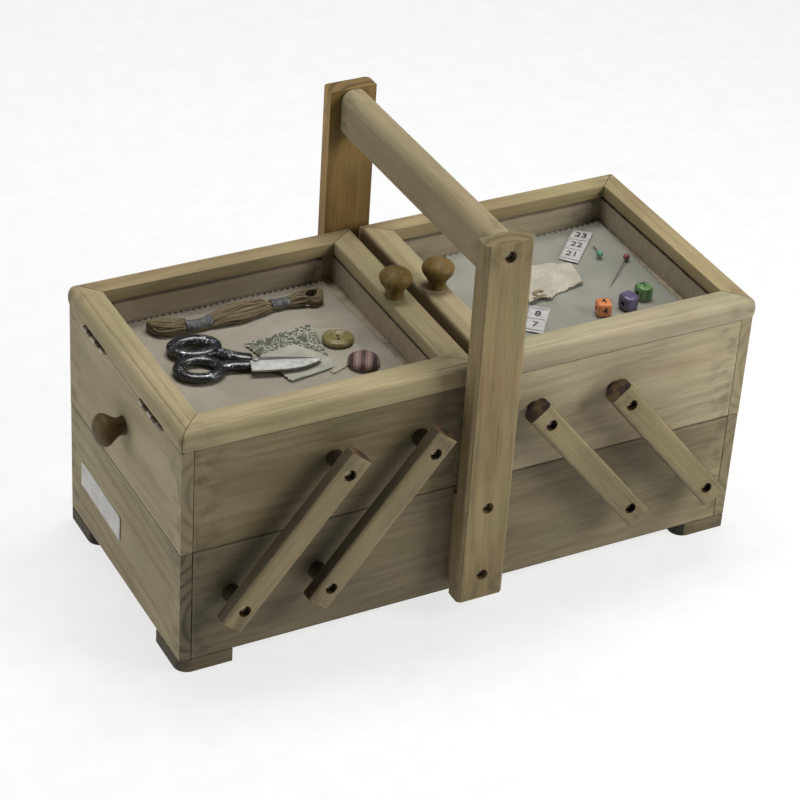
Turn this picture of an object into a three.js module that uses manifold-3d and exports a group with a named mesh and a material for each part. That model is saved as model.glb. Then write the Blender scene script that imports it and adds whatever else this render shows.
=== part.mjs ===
// Sewing box with two lidded trays that swing out over the base on wooden arms.
// Millimetres, +Z up. X runs along the box, the front is at -Y, and the origin is on the
// ground under the centre. The right-hand half is built and mirrored for the left.
import * as THREE from "three";
import { mergeVertices } from "three/addons/utils/BufferGeometryUtils.js";
import Module from "manifold-3d";

const wasm = await Module();
wasm.setup();

// Driving dimensions
const GAP = 0.3; // between pieces that touch on the real box
const BODY_LENGTH = 300;
const BODY_WIDTH = 134;
const WALL = 6;
const FOOT_HEIGHT = 8;
const FOOT_SIZE = 27.5;
const FOOT_CORNER = 7;
const BASE_TOP = 69.4;
const BASE_FLOOR = 3.5;
const TRAY_FLOOR = 3;
const TRAY_RIM = 125.6;
const TRAY_INNER_X = 4.05; // half the space between the two trays

// Lids: a moulded frame over glass, with a shallow display box hanging in the tray
const LID_INNER_X = 3.05;
const LID_OVERHANG_X = 1;
const LID_OVERHANG_Y = 1.5;
const LID_HEIGHT = 11;
const LID_CORNER = 2.4;
const LID_CORNER_STEPS = 3;
const LEAST_CORNER = 0.4;
const RAIL_WIDTH = 13.4;
const REBATE_DEPTH = 4.6;
const REBATE_INSET = 8.2; // from the lid's outer edge
const GLASS_THICKNESS = 1.7;
const DISPLAY_SIDE_WALL = 1.6;
const DISPLAY_END_WALL = 4.4;
const DISPLAY_FLOOR = 2.2;
const DISPLAY_BOTTOM = 112.4;

// Linkage: every arm leans in by LINK_RUN and up by LINK_RISE
const LINK_RUN = 50.35;
const LINK_RISE = 62;
const BASE_PIVOTS_X = { outer: 124.7, inner: 80.9 };
const BASE_PIVOT_Z = 41.8;
const ARM_STANDOFF = 7; // from the wall to the arm's inner face
const ARM_THICKNESS = 9.4;
const ARM_WIDTH = 13;
const ARM_END = 10; // beyond each pivot
const ARM_CORNER = 2.2; // of the section, at its two outer edges
const ARM_WALL_CORNER = 4.2; // at the two edges towards the wall
const COUNTERBORE_RADIUS = 2.9;
const COUNTERBORE_DEPTH = 4.2;
const PIVOT_RADIUS = 1.5;
const HOLE_RADIUS = PIVOT_RADIUS + GAP;
const COLLAR_RADIUS = 4.5;
const HEAD_RADIUS = 2.5;
const HEAD_HEIGHT = 1.8;

// Handle
const POST_HALF_WIDTH = 12.4;
const POST_INNER_Y = 73.8;
const POST_THICKNESS = 9.25;
const POST_BOTTOM = 11.4;
const POST_TOP = 209.3;
const POST_SCREWS_Z = [25.3, 64.4, 201.6];
const PACKING = { halfWidth: 10, bottom: 14, top: 66.5 };
const BAR_WIDTH = 13.6;
const BAR_HEIGHT = 23.8;
const BAR_TOP = 209.2;
const BAR_CORNER = 4.2;
const BAR_TOP_CORNER = 6;

// Knobs and hinges
const KNOB_RADIUS = 8;
const KNOB_HEIGHT = 15;
const LID_KNOB_X = 11.4;
const TRAY_KNOB_Z = 98.6;
const HINGE_LENGTH = 25;
const HINGE_Y = 33.5;
const HINGE_OUT = 0.9; // from the end wall's face to the pin
const HINGE_PIN_Z = TRAY_RIM + GAP / 2;
const KNUCKLE_RADIUS = 1;
const KNUCKLE_ROOM = 0.7; // round the knuckles, in the tray and the lid
const KNUCKLES = 5;
const PIN_RADIUS = 0.5;
const LEAF_WIDTH = 5.2;
const LEAF_THICKNESS = 0.6;

const HALF_LENGTH = BODY_LENGTH / 2;
const HALF_WIDTH = BODY_WIDTH / 2;
const TRAY_BOTTOM = BASE_TOP + GAP;
const LID_BOTTOM = TRAY_RIM + GAP;
const LID_TOP = LID_BOTTOM + LID_HEIGHT;
const LINK_LENGTH = Math.hypot(LINK_RUN, LINK_RISE);

// Materials
const wood = (color) => new THREE.MeshStandardMaterial({ color, roughness: 0.75, metalness: 0 });
const boardWood = wood(0x8c8064);
const frameWood = wood(0xa39678);
const knobWood = wood(0x6b5539);
const brass = new THREE.MeshStandardMaterial({ color: 0x9c8450, roughness: 0.4, metalness: 1 });
const steel = new THREE.MeshStandardMaterial({ color: 0xa8a49a, roughness: 0.35, metalness: 1 });
const glass = new THREE.MeshStandardMaterial({
  color: 0xdfe8e4,
  roughness: 0.05,
  metalness: 0,
  transparent: true,
  opacity: 0.3,
});

// A closed geometry as a manifold-3d solid, and back.
function toSolid(geometry) {
  const bare = geometry.clone();
  bare.deleteAttribute("normal");
  bare.deleteAttribute("uv");
  const merged = mergeVertices(bare, 1e-4);
  return new wasm.Manifold(
    new wasm.Mesh({
      numProp: 3,
      vertProperties: merged.attributes.position.array,
      triVerts: new Uint32Array(merged.index.array),
    }),
  );
}

function toGeometry(solid) {
  const mesh = solid.getMesh();
  const geometry = new THREE.BufferGeometry();
  geometry.setAttribute("position", new THREE.BufferAttribute(mesh.vertProperties, 3));
  geometry.setIndex(new THREE.BufferAttribute(mesh.triVerts, 1));
  geometry.computeVertexNormals();
  return geometry;
}

function cut(geometry, tools) {
  return toGeometry(tools.reduce((solid, tool) => solid.subtract(toSolid(tool)), toSolid(geometry)));
}

function join(geometries) {
  return toGeometry(geometries.map(toSolid).reduce((all, next) => all.add(next)));
}

// A box between two limits on each axis.
function block(x, y, z) {
  const geometry = new THREE.BoxGeometry(x[1] - x[0], y[1] - y[0], z[1] - z[0]);
  return geometry.translate((x[0] + x[1]) / 2, (y[0] + y[1]) / 2, (z[0] + z[1]) / 2);
}

// A cylinder along Y between two limits.
function rod(radius, x, y, z, segments = 16) {
  const geometry = new THREE.CylinderGeometry(radius, radius, y[1] - y[0], segments);
  return geometry.translate(x, (y[0] + y[1]) / 2, z);
}

function named(name, geometry, material) {
  const mesh = new THREE.Mesh(geometry, material);
  mesh.name = name;
  return mesh;
}

// A rounded rectangle, centred, as a shape, with its own radius for the two upper corners.
function roundedRectangle(width, height, radius, upperRadius) {
  const shape = new THREE.Shape();
  const x = width / 2;
  const y = height / 2;
  shape.absarc(x - upperRadius, y - upperRadius, upperRadius, 0, Math.PI / 2);
  shape.absarc(upperRadius - x, y - upperRadius, upperRadius, Math.PI / 2, Math.PI);
  shape.absarc(radius - x, radius - y, radius, Math.PI, 1.5 * Math.PI);
  shape.absarc(x - radius, radius - y, radius, 1.5 * Math.PI, 2 * Math.PI);
  return shape;
}

// Four walls and a floor. The end walls run the full width; the front and back fit between them.
function boards(prefix, x, z, floor, endNames, wallHoles) {
  const between = [x[0] + WALL + GAP, x[1] - WALL - GAP];
  const across = [-HALF_WIDTH, HALF_WIDTH];
  const inside = HALF_WIDTH - WALL;
  const holes = (y) => wallHoles.map(([hx, hz]) => rod(HOLE_RADIUS, hx, y, hz, 12));
  const front = block(between, [-HALF_WIDTH, -inside], z);
  const back = block(between, [inside, HALF_WIDTH], z);
  const floorBoard = block(between, [-inside + GAP, inside - GAP], floor);
  return [
    named(prefix + "_" + endNames[0], block([x[0], x[0] + WALL], across, z), boardWood),
    named(prefix + "_" + endNames[1], block([x[1] - WALL, x[1]], across, z), boardWood),
    named(prefix + "_front_panel", cut(front, holes([-HALF_WIDTH - 1, 1 - inside])), boardWood),
    named(prefix + "_back_panel", cut(back, holes([inside - 1, HALF_WIDTH + 1])), boardWood),
    named(prefix + "_floor", floorBoard, boardWood),
  ];
}

// A square foot with one rounded corner, which points to the front left on all four feet.
function foot(name, sideX, sideY) {
  const radius = FOOT_CORNER;
  const shape = new THREE.Shape();
  shape.moveTo(FOOT_SIZE, 0);
  shape.lineTo(FOOT_SIZE, FOOT_SIZE);
  shape.lineTo(0, FOOT_SIZE);
  shape.absarc(radius, radius, radius, Math.PI, 1.5 * Math.PI);
  shape.closePath();
  const options = { depth: FOOT_HEIGHT - GAP, bevelEnabled: false, curveSegments: 6 };
  const mesh = named(name, new THREE.ExtrudeGeometry(shape, options), boardWood);
  const half = FOOT_SIZE / 2;
  mesh.position.set(sideX * (HALF_LENGTH - half) - half, sideY * (HALF_WIDTH - half) - half, 0);
  return mesh;
}

// A post stands off the front wall on a packing block that is glued to it. Built for the front.
function postGeometry() {
  const inner = -POST_INNER_Y;
  const outer = inner - POST_THICKNESS;
  const half = POST_HALF_WIDTH;
  const shape = new THREE.Shape();
  shape.moveTo(-half, inner);
  shape.lineTo(-half, outer + 2.4);
  shape.quadraticCurveTo(-half + 0.2, outer + 0.9, -half + 1.2, outer + 0.7);
  shape.lineTo(-half + 1.7, outer);
  shape.lineTo(half - 1.7, outer);
  shape.lineTo(half - 1.2, outer + 0.7);
  shape.quadraticCurveTo(half - 0.2, outer + 0.9, half, outer + 2.4);
  shape.lineTo(half, inner);
  shape.closePath();
  const options = { depth: POST_TOP - POST_BOTTOM, bevelEnabled: false, curveSegments: 4 };
  const post = new THREE.ExtrudeGeometry(shape, options).translate(0, 0, POST_BOTTOM);
  const packing = block(
    [-PACKING.halfWidth, PACKING.halfWidth],
    [inner - 1, -HALF_WIDTH - GAP],
    [PACKING.bottom, PACKING.top],
  );
  const holes = POST_SCREWS_Z.flatMap((z) => [
    rod(COUNTERBORE_RADIUS, 0, [outer - 1, outer + COUNTERBORE_DEPTH], z),
    rod(HOLE_RADIUS, 0, [outer, -HALF_WIDTH + 1], z, 12),
  ]);
  return cut(join([post, packing]), holes);
}

function handleBar() {
  const shape = roundedRectangle(BAR_WIDTH, BAR_HEIGHT, BAR_CORNER, BAR_TOP_CORNER);
  const length = 2 * (POST_INNER_Y - GAP);
  const options = { depth: length, bevelEnabled: false, curveSegments: 5 };
  const mesh = named("handle_bar", new THREE.ExtrudeGeometry(shape, options), frameWood);
  mesh.position.set(0, length / 2, BAR_TOP - BAR_HEIGHT / 2);
  mesh.rotation.x = Math.PI / 2;
  return mesh;
}

// An arm from its base pivot along +X. Its inner face is at y = 0 and its outer face faces -Y.
function armGeometry() {
  const section = roundedRectangle(ARM_WIDTH, ARM_THICKNESS, ARM_CORNER, ARM_WALL_CORNER);
  const length = LINK_LENGTH + 2 * ARM_END;
  const options = { depth: length, bevelEnabled: false, curveSegments: 4 };
  const bar = new THREE.ExtrudeGeometry(section, options).rotateY(Math.PI / 2);
  bar.translate(-ARM_END, -ARM_THICKNESS / 2, 0);
  const outer = -ARM_THICKNESS;
  const holes = [0, LINK_LENGTH].flatMap((x) => [
    rod(COUNTERBORE_RADIUS, x, [outer - 1, outer + COUNTERBORE_DEPTH], 0),
    rod(HOLE_RADIUS, x, [outer, 1], 0, 12),
  ]);
  return cut(bar, holes);
}

// A pivot screw with its spacer: shank in the wall, spacer, shank through the arm, head.
function pivotGeometry() {
  const headBase = ARM_STANDOFF + ARM_THICKNESS - COUNTERBORE_DEPTH + GAP;
  const headTop = headBase + HEAD_HEIGHT;
  const outline = [
    [0, GAP - WALL],
    [PIVOT_RADIUS, GAP - WALL],
    [PIVOT_RADIUS, GAP],
    [COLLAR_RADIUS, GAP],
    [COLLAR_RADIUS, ARM_STANDOFF - GAP],
    [PIVOT_RADIUS, ARM_STANDOFF - GAP],
    [PIVOT_RADIUS, headBase],
    [HEAD_RADIUS, headBase],
    [HEAD_RADIUS, headTop - 0.6],
    [HEAD_RADIUS - 0.9, headTop],
    [0, headTop],
  ];
  const points = outline.map(([r, out]) => new THREE.Vector2(r, out));
  return new THREE.LatheGeometry(points, 12).rotateX(Math.PI);
}

// A turned knob that stands along +Y from its seat.
function knobGeometry() {
  const points = [
    new THREE.Vector2(0, GAP),
    new THREE.Vector2(4.6, GAP),
    new THREE.Vector2(4.3, 1.6),
    new THREE.Vector2(4.4, 3),
    new THREE.Vector2(5.4, 5),
    new THREE.Vector2(7.1, 7.4),
    new THREE.Vector2(KNOB_RADIUS, 9.8),
  ];
  const domeBase = 10.6;
  const steps = 6;
  for (let i = 0; i <= steps; i += 1) {
    const turn = ((Math.PI / 2) * i) / steps;
    const height = domeBase + (KNOB_HEIGHT - domeBase) * Math.sin(turn);
    points.push(new THREE.Vector2(i === steps ? 0 : KNOB_RADIUS * Math.cos(turn), height));
  }
  return new THREE.LatheGeometry(points, 20);
}

// A hinge's lower leaf, with its three knuckles and the pin. Built for the right-hand end.
function hingeLeafGeometry() {
  const pinX = HALF_LENGTH + HINGE_OUT;
  const step = HINGE_LENGTH / KNUCKLES;
  const plate = block(
    [pinX - LEAF_WIDTH, pinX],
    [-HINGE_LENGTH / 2, HINGE_LENGTH / 2],
    [TRAY_RIM - LEAF_THICKNESS, TRAY_RIM],
  );
  const slots = [];
  const knuckles = [];
  for (let i = 0; i < KNUCKLES; i += 1) {
    const from = -HINGE_LENGTH / 2 + i * step;
    if (i % 2) {
      const room = KNUCKLE_RADIUS + GAP;
      const span = [from - GAP / 2, from + step + GAP / 2];
      slots.push(block([pinX - room, pinX + room], span, [TRAY_RIM - 2, TRAY_RIM + 2]));
    } else {
      const span = [from + GAP / 2, from + step - GAP / 2];
      knuckles.push(rod(KNUCKLE_RADIUS, pinX, span, HINGE_PIN_Z, 12));
    }
  }
  const pin = rod(PIN_RADIUS, pinX, [-HINGE_LENGTH / 2, HINGE_LENGTH / 2], HINGE_PIN_Z, 8);
  return join([cut(plate, slots), pin, ...knuckles]);
}

// The recess for a leaf and its knuckles, cut in the tray's rim and, above it, in the lid.
function hingeRecess(y, z, leafZ) {
  const span = [y - HINGE_LENGTH / 2 - GAP, y + HINGE_LENGTH / 2 + GAP];
  const pinX = HALF_LENGTH + HINGE_OUT;
  const room = KNUCKLE_RADIUS + KNUCKLE_ROOM;
  return [
    block([pinX - room, pinX + room], span, z),
    block([pinX - LEAF_WIDTH - GAP, pinX], span, leafZ),
  ];
}

// The rail's section, as [inset from the outer edge, height] from the outer bottom edge round.
// A third number is the inset on the side that meets the other lid, which has no moulding.
function railSection() {
  return [
    [1.2, 0, 0.4],
    [0.5, 1.3, 0],
    [0.1, 2.9, 0],
    [0, 4.6, 0],
    [0.05, 6.6, 0],
    [0.45, 8.3, 0],
    [1.4, 9.6, 0.05],
    [2.7, 10.3, 0.3],
    [3.7, 10.45, 0.45],
    [3.9, LID_HEIGHT, 1],
    [RAIL_WIDTH - 0.5, LID_HEIGHT],
    [RAIL_WIDTH, LID_HEIGHT - 0.5],
    [RAIL_WIDTH, REBATE_DEPTH],
    [REBATE_INSET, REBATE_DEPTH],
    [REBATE_INSET, 0],
  ];
}

// The section carried round a rectangle with rounded corners: four mitred rails as one frame.
// The low side in x is the plain one.
function mouldedFrame(x, y, section) {
  const ring = ([inset, height, plain = inset]) => {
    const radius = Math.max(LID_CORNER - inset, LEAST_CORNER);
    const points = [];
    for (let corner = 0; corner < 4; corner += 1) {
      const right = corner === 0 || corner === 3;
      const rear = corner < 2;
      const cx = right ? x[1] - inset - radius : x[0] + plain + radius;
      const cy = rear ? y[1] - inset - radius : y[0] + inset + radius;
      for (let i = 0; i <= LID_CORNER_STEPS; i += 1) {
        const turn = (Math.PI / 2) * (corner + i / LID_CORNER_STEPS);
        points.push([cx + radius * Math.cos(turn), cy + radius * Math.sin(turn), height]);
      }
    }
    return points;
  };
  const rings = section.map(ring);
  const around = rings[0].length;
  const index = [];
  for (let r = 0; r < rings.length; r += 1) {
    for (let i = 0; i < around; i += 1) {
      const next = (i + 1) % around;
      const a = r * around + i;
      const b = r * around + next;
      const above = ((r + 1) % rings.length) * around;
      index.push(a, b, above + next, a, above + next, above + i);
    }
  }
  const geometry = new THREE.BufferGeometry();
  geometry.setAttribute("position", new THREE.Float32BufferAttribute(rings.flat(2), 3));
  geometry.setIndex(index);
  return geometry;
}

function lidFrameGeometry() {
  const x = [LID_INNER_X, HALF_LENGTH + LID_OVERHANG_X];
  const y = [-HALF_WIDTH - LID_OVERHANG_Y, HALF_WIDTH + LID_OVERHANG_Y];
  const frame = mouldedFrame(x, y, railSection()).translate(0, 0, LID_BOTTOM);
  const knuckleZ = [LID_BOTTOM - 1, HINGE_PIN_Z + KNUCKLE_RADIUS + KNUCKLE_ROOM];
  const leafZ = [LID_BOTTOM - 1, LID_BOTTOM + LEAF_THICKNESS + GAP];
  const recesses = [-HINGE_Y, HINGE_Y].flatMap((at) => hingeRecess(at, knuckleZ, leafZ));
  return cut(frame, recesses);
}

// What fits in the lid's rebate: its limits in x, and how far it reaches in y.
function rebateSpace() {
  const inset = REBATE_INSET + GAP;
  return {
    x: [LID_INNER_X + inset, HALF_LENGTH + LID_OVERHANG_X - inset],
    reach: HALF_WIDTH + LID_OVERHANG_Y - inset,
    top: LID_BOTTOM + REBATE_DEPTH - GAP,
  };
}

function glassGeometry() {
  const { x, reach, top } = rebateSpace();
  return block(x, [-reach, reach], [top - GLASS_THICKNESS, top]);
}

// An open tray under the glass. Its rim stands in the rebate and carries the glass.
function displayBoxGeometry() {
  const { x, reach, top } = rebateSpace();
  const rim = top - GLASS_THICKNESS - GAP;
  const inside = reach - DISPLAY_SIDE_WALL;
  const hollow = block(
    [x[0] + DISPLAY_END_WALL, x[1] - DISPLAY_END_WALL],
    [-inside, inside],
    [DISPLAY_BOTTOM + DISPLAY_FLOOR, rim + 1],
  );
  return cut(block(x, [-reach, reach], [DISPLAY_BOTTOM, rim]), [hollow]);
}

function base() {
  const group = new THREE.Group();
  const pivotsX = Object.values(BASE_PIVOTS_X);
  const holes = pivotsX.flatMap((x) => [[x, BASE_PIVOT_Z], [-x, BASE_PIVOT_Z]]);
  const floor = [FOOT_HEIGHT + GAP, FOOT_HEIGHT + GAP + BASE_FLOOR];
  const x = [-HALF_LENGTH, HALF_LENGTH];
  group.add(...boards("base", x, [FOOT_HEIGHT, BASE_TOP], floor, ["left_end", "right_end"], holes));
  for (const [sideX, left] of [[-1, "left"], [1, "right"]]) {
    for (const [sideY, front] of [[-1, "front"], [1, "back"]]) {
      group.add(foot("foot_" + front + "_" + left, sideX, sideY));
    }
  }
  const post = postGeometry();
  const front = named("handle_post_front", post, frameWood);
  const back = named("handle_post_back", post, frameWood);
  back.scale.y = -1;
  group.add(front, back, handleBar());
  return group;
}

// One side's four arms and eight pivot screws.
function linkage(side) {
  const group = new THREE.Group();
  const arm = armGeometry();
  const pivot = pivotGeometry();
  for (const [mirror, row] of [[1, "front"], [-1, "back"]]) {
    const wall = new THREE.Group();
    wall.scale.y = mirror;
    for (const [place, x] of Object.entries(BASE_PIVOTS_X)) {
      const bar = named(side + "_arm_" + row + "_" + place, arm, frameWood);
      bar.position.set(x, -HALF_WIDTH - ARM_STANDOFF, BASE_PIVOT_Z);
      bar.rotation.y = Math.atan2(-LINK_RISE, -LINK_RUN);
      const low = named(side + "_base_pivot_" + row + "_" + place, pivot, brass);
      low.position.set(x, -HALF_WIDTH, BASE_PIVOT_Z);
      const high = named(side + "_tray_pivot_" + row + "_" + place, pivot, brass);
      high.position.set(x - LINK_RUN, -HALF_WIDTH, BASE_PIVOT_Z + LINK_RISE);
      wall.add(bar, low, high);
    }
    group.add(wall);
  }
  return group;
}

function tray(side) {
  const group = new THREE.Group();
  const prefix = side + "_tray";
  const holes = Object.values(BASE_PIVOTS_X).map((x) => [x - LINK_RUN, BASE_PIVOT_Z + LINK_RISE]);
  const z = [TRAY_BOTTOM, TRAY_RIM];
  const floor = [TRAY_BOTTOM, TRAY_BOTTOM + TRAY_FLOOR];
  const x = [TRAY_INNER_X, HALF_LENGTH];
  const pieces = boards(prefix, x, z, floor, ["inner_end", "outer_end"], holes);
  const outerEnd = pieces[1];
  const knuckleZ = [HINGE_PIN_Z - KNUCKLE_RADIUS - GAP, TRAY_RIM + 1];
  const leafZ = [TRAY_RIM - LEAF_THICKNESS - GAP, TRAY_RIM + 1];
  outerEnd.geometry = cut(
    outerEnd.geometry,
    [-HINGE_Y, HINGE_Y].flatMap((y) => hingeRecess(y, knuckleZ, leafZ)),
  );
  group.add(...pieces);
  const knob = named(prefix + "_knob", knobGeometry(), knobWood);
  knob.position.set(HALF_LENGTH, 0, TRAY_KNOB_Z);
  knob.rotation.z = -Math.PI / 2;
  group.add(knob);
  const leaf = hingeLeafGeometry();
  for (const [y, row] of [[-HINGE_Y, "front"], [HINGE_Y, "back"]]) {
    const hinge = named(side + "_hinge_leaf_" + row, leaf, steel);
    hinge.position.y = y;
    group.add(hinge);
  }
  return group;
}

function lid(side) {
  const group = new THREE.Group();
  const knob = named(side + "_lid_knob", knobGeometry(), knobWood);
  knob.position.set(LID_KNOB_X, 0, LID_TOP);
  knob.rotation.x = Math.PI / 2;
  group.add(
    named(side + "_lid_frame", lidFrameGeometry(), frameWood),
    named(side + "_lid_glass", glassGeometry(), glass),
    named(side + "_lid_display_box", displayBoxGeometry(), boardWood),
    knob,
  );
  return group;
}

const sewingBox = new THREE.Group();
sewingBox.add(base());
for (const [mirror, side] of [[-1, "left"], [1, "right"]]) {
  const half = new THREE.Group();
  half.scale.x = mirror;
  half.add(linkage(side), tray(side), lid(side));
  sewingBox.add(half);
}

export default sewingBox;
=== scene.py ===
"""Looks for a sewing box with two lidded trays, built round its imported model.

The scene is in metres, +Z up, the front at -Y. Shapes are written in millimetres: make() turns
them into metres, and single lengths are multiplied by MM.
"""

import random
from itertools import count
from math import atan2, cos, exp, pi, radians, sin

import bmesh
import bpy
from mathutils import Euler, Matrix, Vector, noise


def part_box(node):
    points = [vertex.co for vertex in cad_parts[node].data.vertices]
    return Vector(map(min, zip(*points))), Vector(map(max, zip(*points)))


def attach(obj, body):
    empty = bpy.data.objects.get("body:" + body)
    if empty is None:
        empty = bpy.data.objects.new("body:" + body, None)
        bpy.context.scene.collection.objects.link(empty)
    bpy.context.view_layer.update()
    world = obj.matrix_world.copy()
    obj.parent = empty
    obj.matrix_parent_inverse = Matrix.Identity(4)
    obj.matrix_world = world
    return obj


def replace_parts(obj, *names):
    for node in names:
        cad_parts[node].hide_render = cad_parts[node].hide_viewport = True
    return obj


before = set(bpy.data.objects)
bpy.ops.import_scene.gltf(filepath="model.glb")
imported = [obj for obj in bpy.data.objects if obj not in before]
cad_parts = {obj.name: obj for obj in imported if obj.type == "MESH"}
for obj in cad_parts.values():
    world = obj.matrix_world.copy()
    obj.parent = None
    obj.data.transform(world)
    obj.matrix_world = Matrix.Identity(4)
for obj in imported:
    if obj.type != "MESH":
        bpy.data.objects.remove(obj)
bpy.context.view_layer.update()

MM = 0.001
SIDES = {"left": -1, "right": 1}
ROWS = {"front": -1, "back": 1}
PLACES = ("outer", "inner")

# Camera: where it stands, which way it looks, and its lens
CAMERA_PLACE = Vector((-0.5436, -0.9585, 0.8093))
CAMERA_FORWARD = Vector((0.4077, 0.7250, -0.5551))
CAMERA_RIGHT = Vector((0.8879, -0.4565, 0.0560))
CAMERA_LENS = 121.73
LIGHT_TARGET = Vector((0.0, 0.0, 0.09))
FLOOR_HALF = 10.0

# Lid, in millimetres from the lid frame's own limits
RAIL_WIDTH = 13.4
LID_HEIGHT = 11.0
NOSING_DEPTH = 3.7
NOSING_STEP = 10.4
NOSING_WIDEST = 4.8
NOSING_FOOT = 1.2
REBATE_INSET = 8.2
REBATE_DEPTH = 4.6
LID_CORNER = 2.4
MITRE_GAP = 0.32

# Hardware
HINGE_LENGTH = 25.0
KNUCKLES = 5
KNUCKLE_RADIUS = 1.0
KNUCKLE_ROOM = 0.7
KNUCKLE_GAP = 0.15
BORE_RADIUS = 0.6
LEAF_WIDTH = 5.2
LEAF_THICKNESS = 0.55
HINGE_GAP = 0.3
HEAD_RADIUS = 2.5
HEAD_EDGE = 0.35
HEAD_DOME = 1.4
SHANK_RADIUS = 1.45
RECESS = (1.55, 0.32, 0.85)  # a cross recess: half its length, half its width, its depth
POST_SCREWS_Z = (25.3, 64.4, 201.6)
COUNTERBORE_DEPTH = 4.2

# Display under the glass
DISPLAY_WALLS = Vector((4.4, 1.6, 2.2))
CLOTH_GAP = 0.12
CLOTH_THICKNESS = 0.35
CLOTH_TOP = 1.25
SCRAP_THICKNESS = 0.2
LINER_THICKNESS = 2.8
LINER_END_GAP = 6.2
PINK_PITCH = 1.6  # half a tooth of the pinked edge
PINK_DEPTH = 1.4
PIN_HEAD_RADIUS = 1.75


# ---------------- meshes

def smoothed(piece, angle):
    """Smooth shading, with edges above an angle in degrees left sharp."""
    piece.data.shade_smooth()
    piece.data.set_sharp_from_angle(angle=radians(angle))
    return piece


def transformed(piece, matrix):
    piece.data.transform(matrix)
    if matrix.determinant() < 0:
        piece.data.flip_normals()
    return piece


def make(name, part, materials=(), smooth=None, matrix=None, unit=MM):
    """A new mesh object from (vertices, faces). matrix, in metres, places it."""
    vertices, faces = part
    mesh = bpy.data.meshes.new(name)
    mesh.from_pydata([tuple(Vector(v) * unit) for v in vertices], [], faces)
    for material in materials:
        mesh.materials.append(material)
    piece = bpy.data.objects.new(name, mesh)
    bpy.context.scene.collection.objects.link(piece)
    if matrix is not None:
        transformed(piece, matrix)
    return piece if smooth is None else smoothed(piece, smooth)


def skin(rows, closed=False, looped=False, capped=False):
    """Quads between rows of points. closed joins the ends of each row, looped joins the last row
    to the first, and capped closes the two ends of a tube."""
    number, size = len(rows), len(rows[0])
    faces = []
    for j in range(number if looped else number - 1):
        a, b = j * size, (j + 1) % number * size
        for i in range(size if closed else size - 1):
            k = (i + 1) % size
            faces.append([a + i, a + k, b + k, b + i])
    if capped:
        last = (number - 1) * size
        faces += [list(range(size))[::-1], list(range(last, last + size))]
    return [point for row in rows for point in row], faces


def block(low, high):
    (x0, y0, z0), (x1, y1, z1) = low, high
    outline = ((x0, y0), (x1, y0), (x1, y1), (x0, y1))
    return skin([[(x, y, z) for x, y in outline] for z in (z0, z1)], closed=True, capped=True)


def lathe(profile, segments=32):
    """A shape turned round Z from (radius, height) points. A radius of 0 closes the end."""
    vertices, faces, rings = [], [], []
    for radius, height in profile:
        first = len(vertices)
        if radius == 0:
            rings.append([first] * segments)
            vertices.append((0, 0, height))
            continue
        rings.append([first + i for i in range(segments)])
        for i in range(segments):
            turn = 2 * pi * i / segments
            vertices.append((radius * cos(turn), radius * sin(turn), height))
    for low, high in zip(rings, rings[1:]):
        for i in range(segments):
            j = (i + 1) % segments
            corners = [low[i], low[j], high[j], high[i]]
            faces.append([c for k, c in enumerate(corners) if c not in corners[:k]])
    return vertices, faces


def sweep(points, radii, sides=8, closed=False):
    """A tube along points. radii gives its half sizes (across, up), or a function of the share of
    the way along that gives them."""
    rings = []
    number = len(points)
    for i, point in enumerate(points):
        before = points[i - 1] if closed or i else point
        after = points[(i + 1) % number] if closed or i < number - 1 else point
        ahead = (Vector(after) - Vector(before)).normalized()
        across = ahead.cross(Vector((0, 0, 1))).normalized()
        up = across.cross(ahead)
        wide, tall = radii(i / (number - 1)) if callable(radii) else radii
        turns = [2 * pi * k / sides for k in range(sides)]
        rings.append([Vector(point) + across * wide * cos(t) + up * tall * sin(t) for t in turns])
    return skin(rings, closed=True, looped=closed, capped=not closed)


def together(*parts):
    """Several (vertices, faces) as one."""
    vertices, faces = [], []
    for more_vertices, more_faces in parts:
        offset = len(vertices)
        vertices += more_vertices
        faces += [[offset + i for i in face] for face in more_faces]
    return vertices, faces


def moved(part, matrix):
    vertices, faces = part
    return [matrix @ Vector(v) for v in vertices], faces


def translation(x, y, z):
    return Matrix.Translation((x, y, z))


def rotation(angle, axis):
    return Matrix.Rotation(angle, 4, axis)


def mirror(factor, axis):
    """Scaling by a factor, which may be -1, along one axis."""
    return Matrix.Scale(factor, 4, axis)


def quarter_turn(steps, first=0):
    """Angles from first steps up to a quarter turn."""
    return [pi / 2 * i / steps for i in range(first, steps + 1)]


def limits(points):
    """The lowest and the highest corner of some points."""
    low, high = ([pick(p[i] for p in points) for i in range(3)] for pick in (min, max))
    return Vector(low), Vector(high)


def bevel(piece, width, segments=2, angle=32):
    modifier = piece.modifiers.new("Rounded edges", "BEVEL")
    modifier.width = width * MM
    modifier.segments = segments
    modifier.limit_method = "ANGLE"
    modifier.angle_limit = radians(angle)
    modifier.harden_normals = True
    return piece


def thicken(piece, thickness, offset=1.0):
    modifier = piece.modifiers.new("Thickness", "SOLIDIFY")
    modifier.thickness = thickness * MM
    modifier.offset = offset
    return piece


def baked(piece):
    """Applies the modifiers of a piece to its mesh."""
    graph = bpy.context.evaluated_depsgraph_get()
    mesh = bpy.data.meshes.new_from_object(piece.evaluated_get(graph))
    piece.modifiers.clear()
    piece.data = mesh
    return piece


def cut_away(piece, *cutters):
    for cutter in cutters:
        modifier = piece.modifiers.new("Cut", "BOOLEAN")
        modifier.operation = "DIFFERENCE"
        modifier.solver = "EXACT"
        modifier.object = cutter
    baked(piece)
    for cutter in cutters:
        bpy.data.objects.remove(cutter)
    return piece


def outward(piece):
    """Turns every face's normal outward."""
    work = bmesh.new()
    work.from_mesh(piece.data)
    bmesh.ops.recalc_face_normals(work, faces=work.faces)
    work.to_mesh(piece.data)
    work.free()
    return piece


# ---------------- shaders

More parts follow.
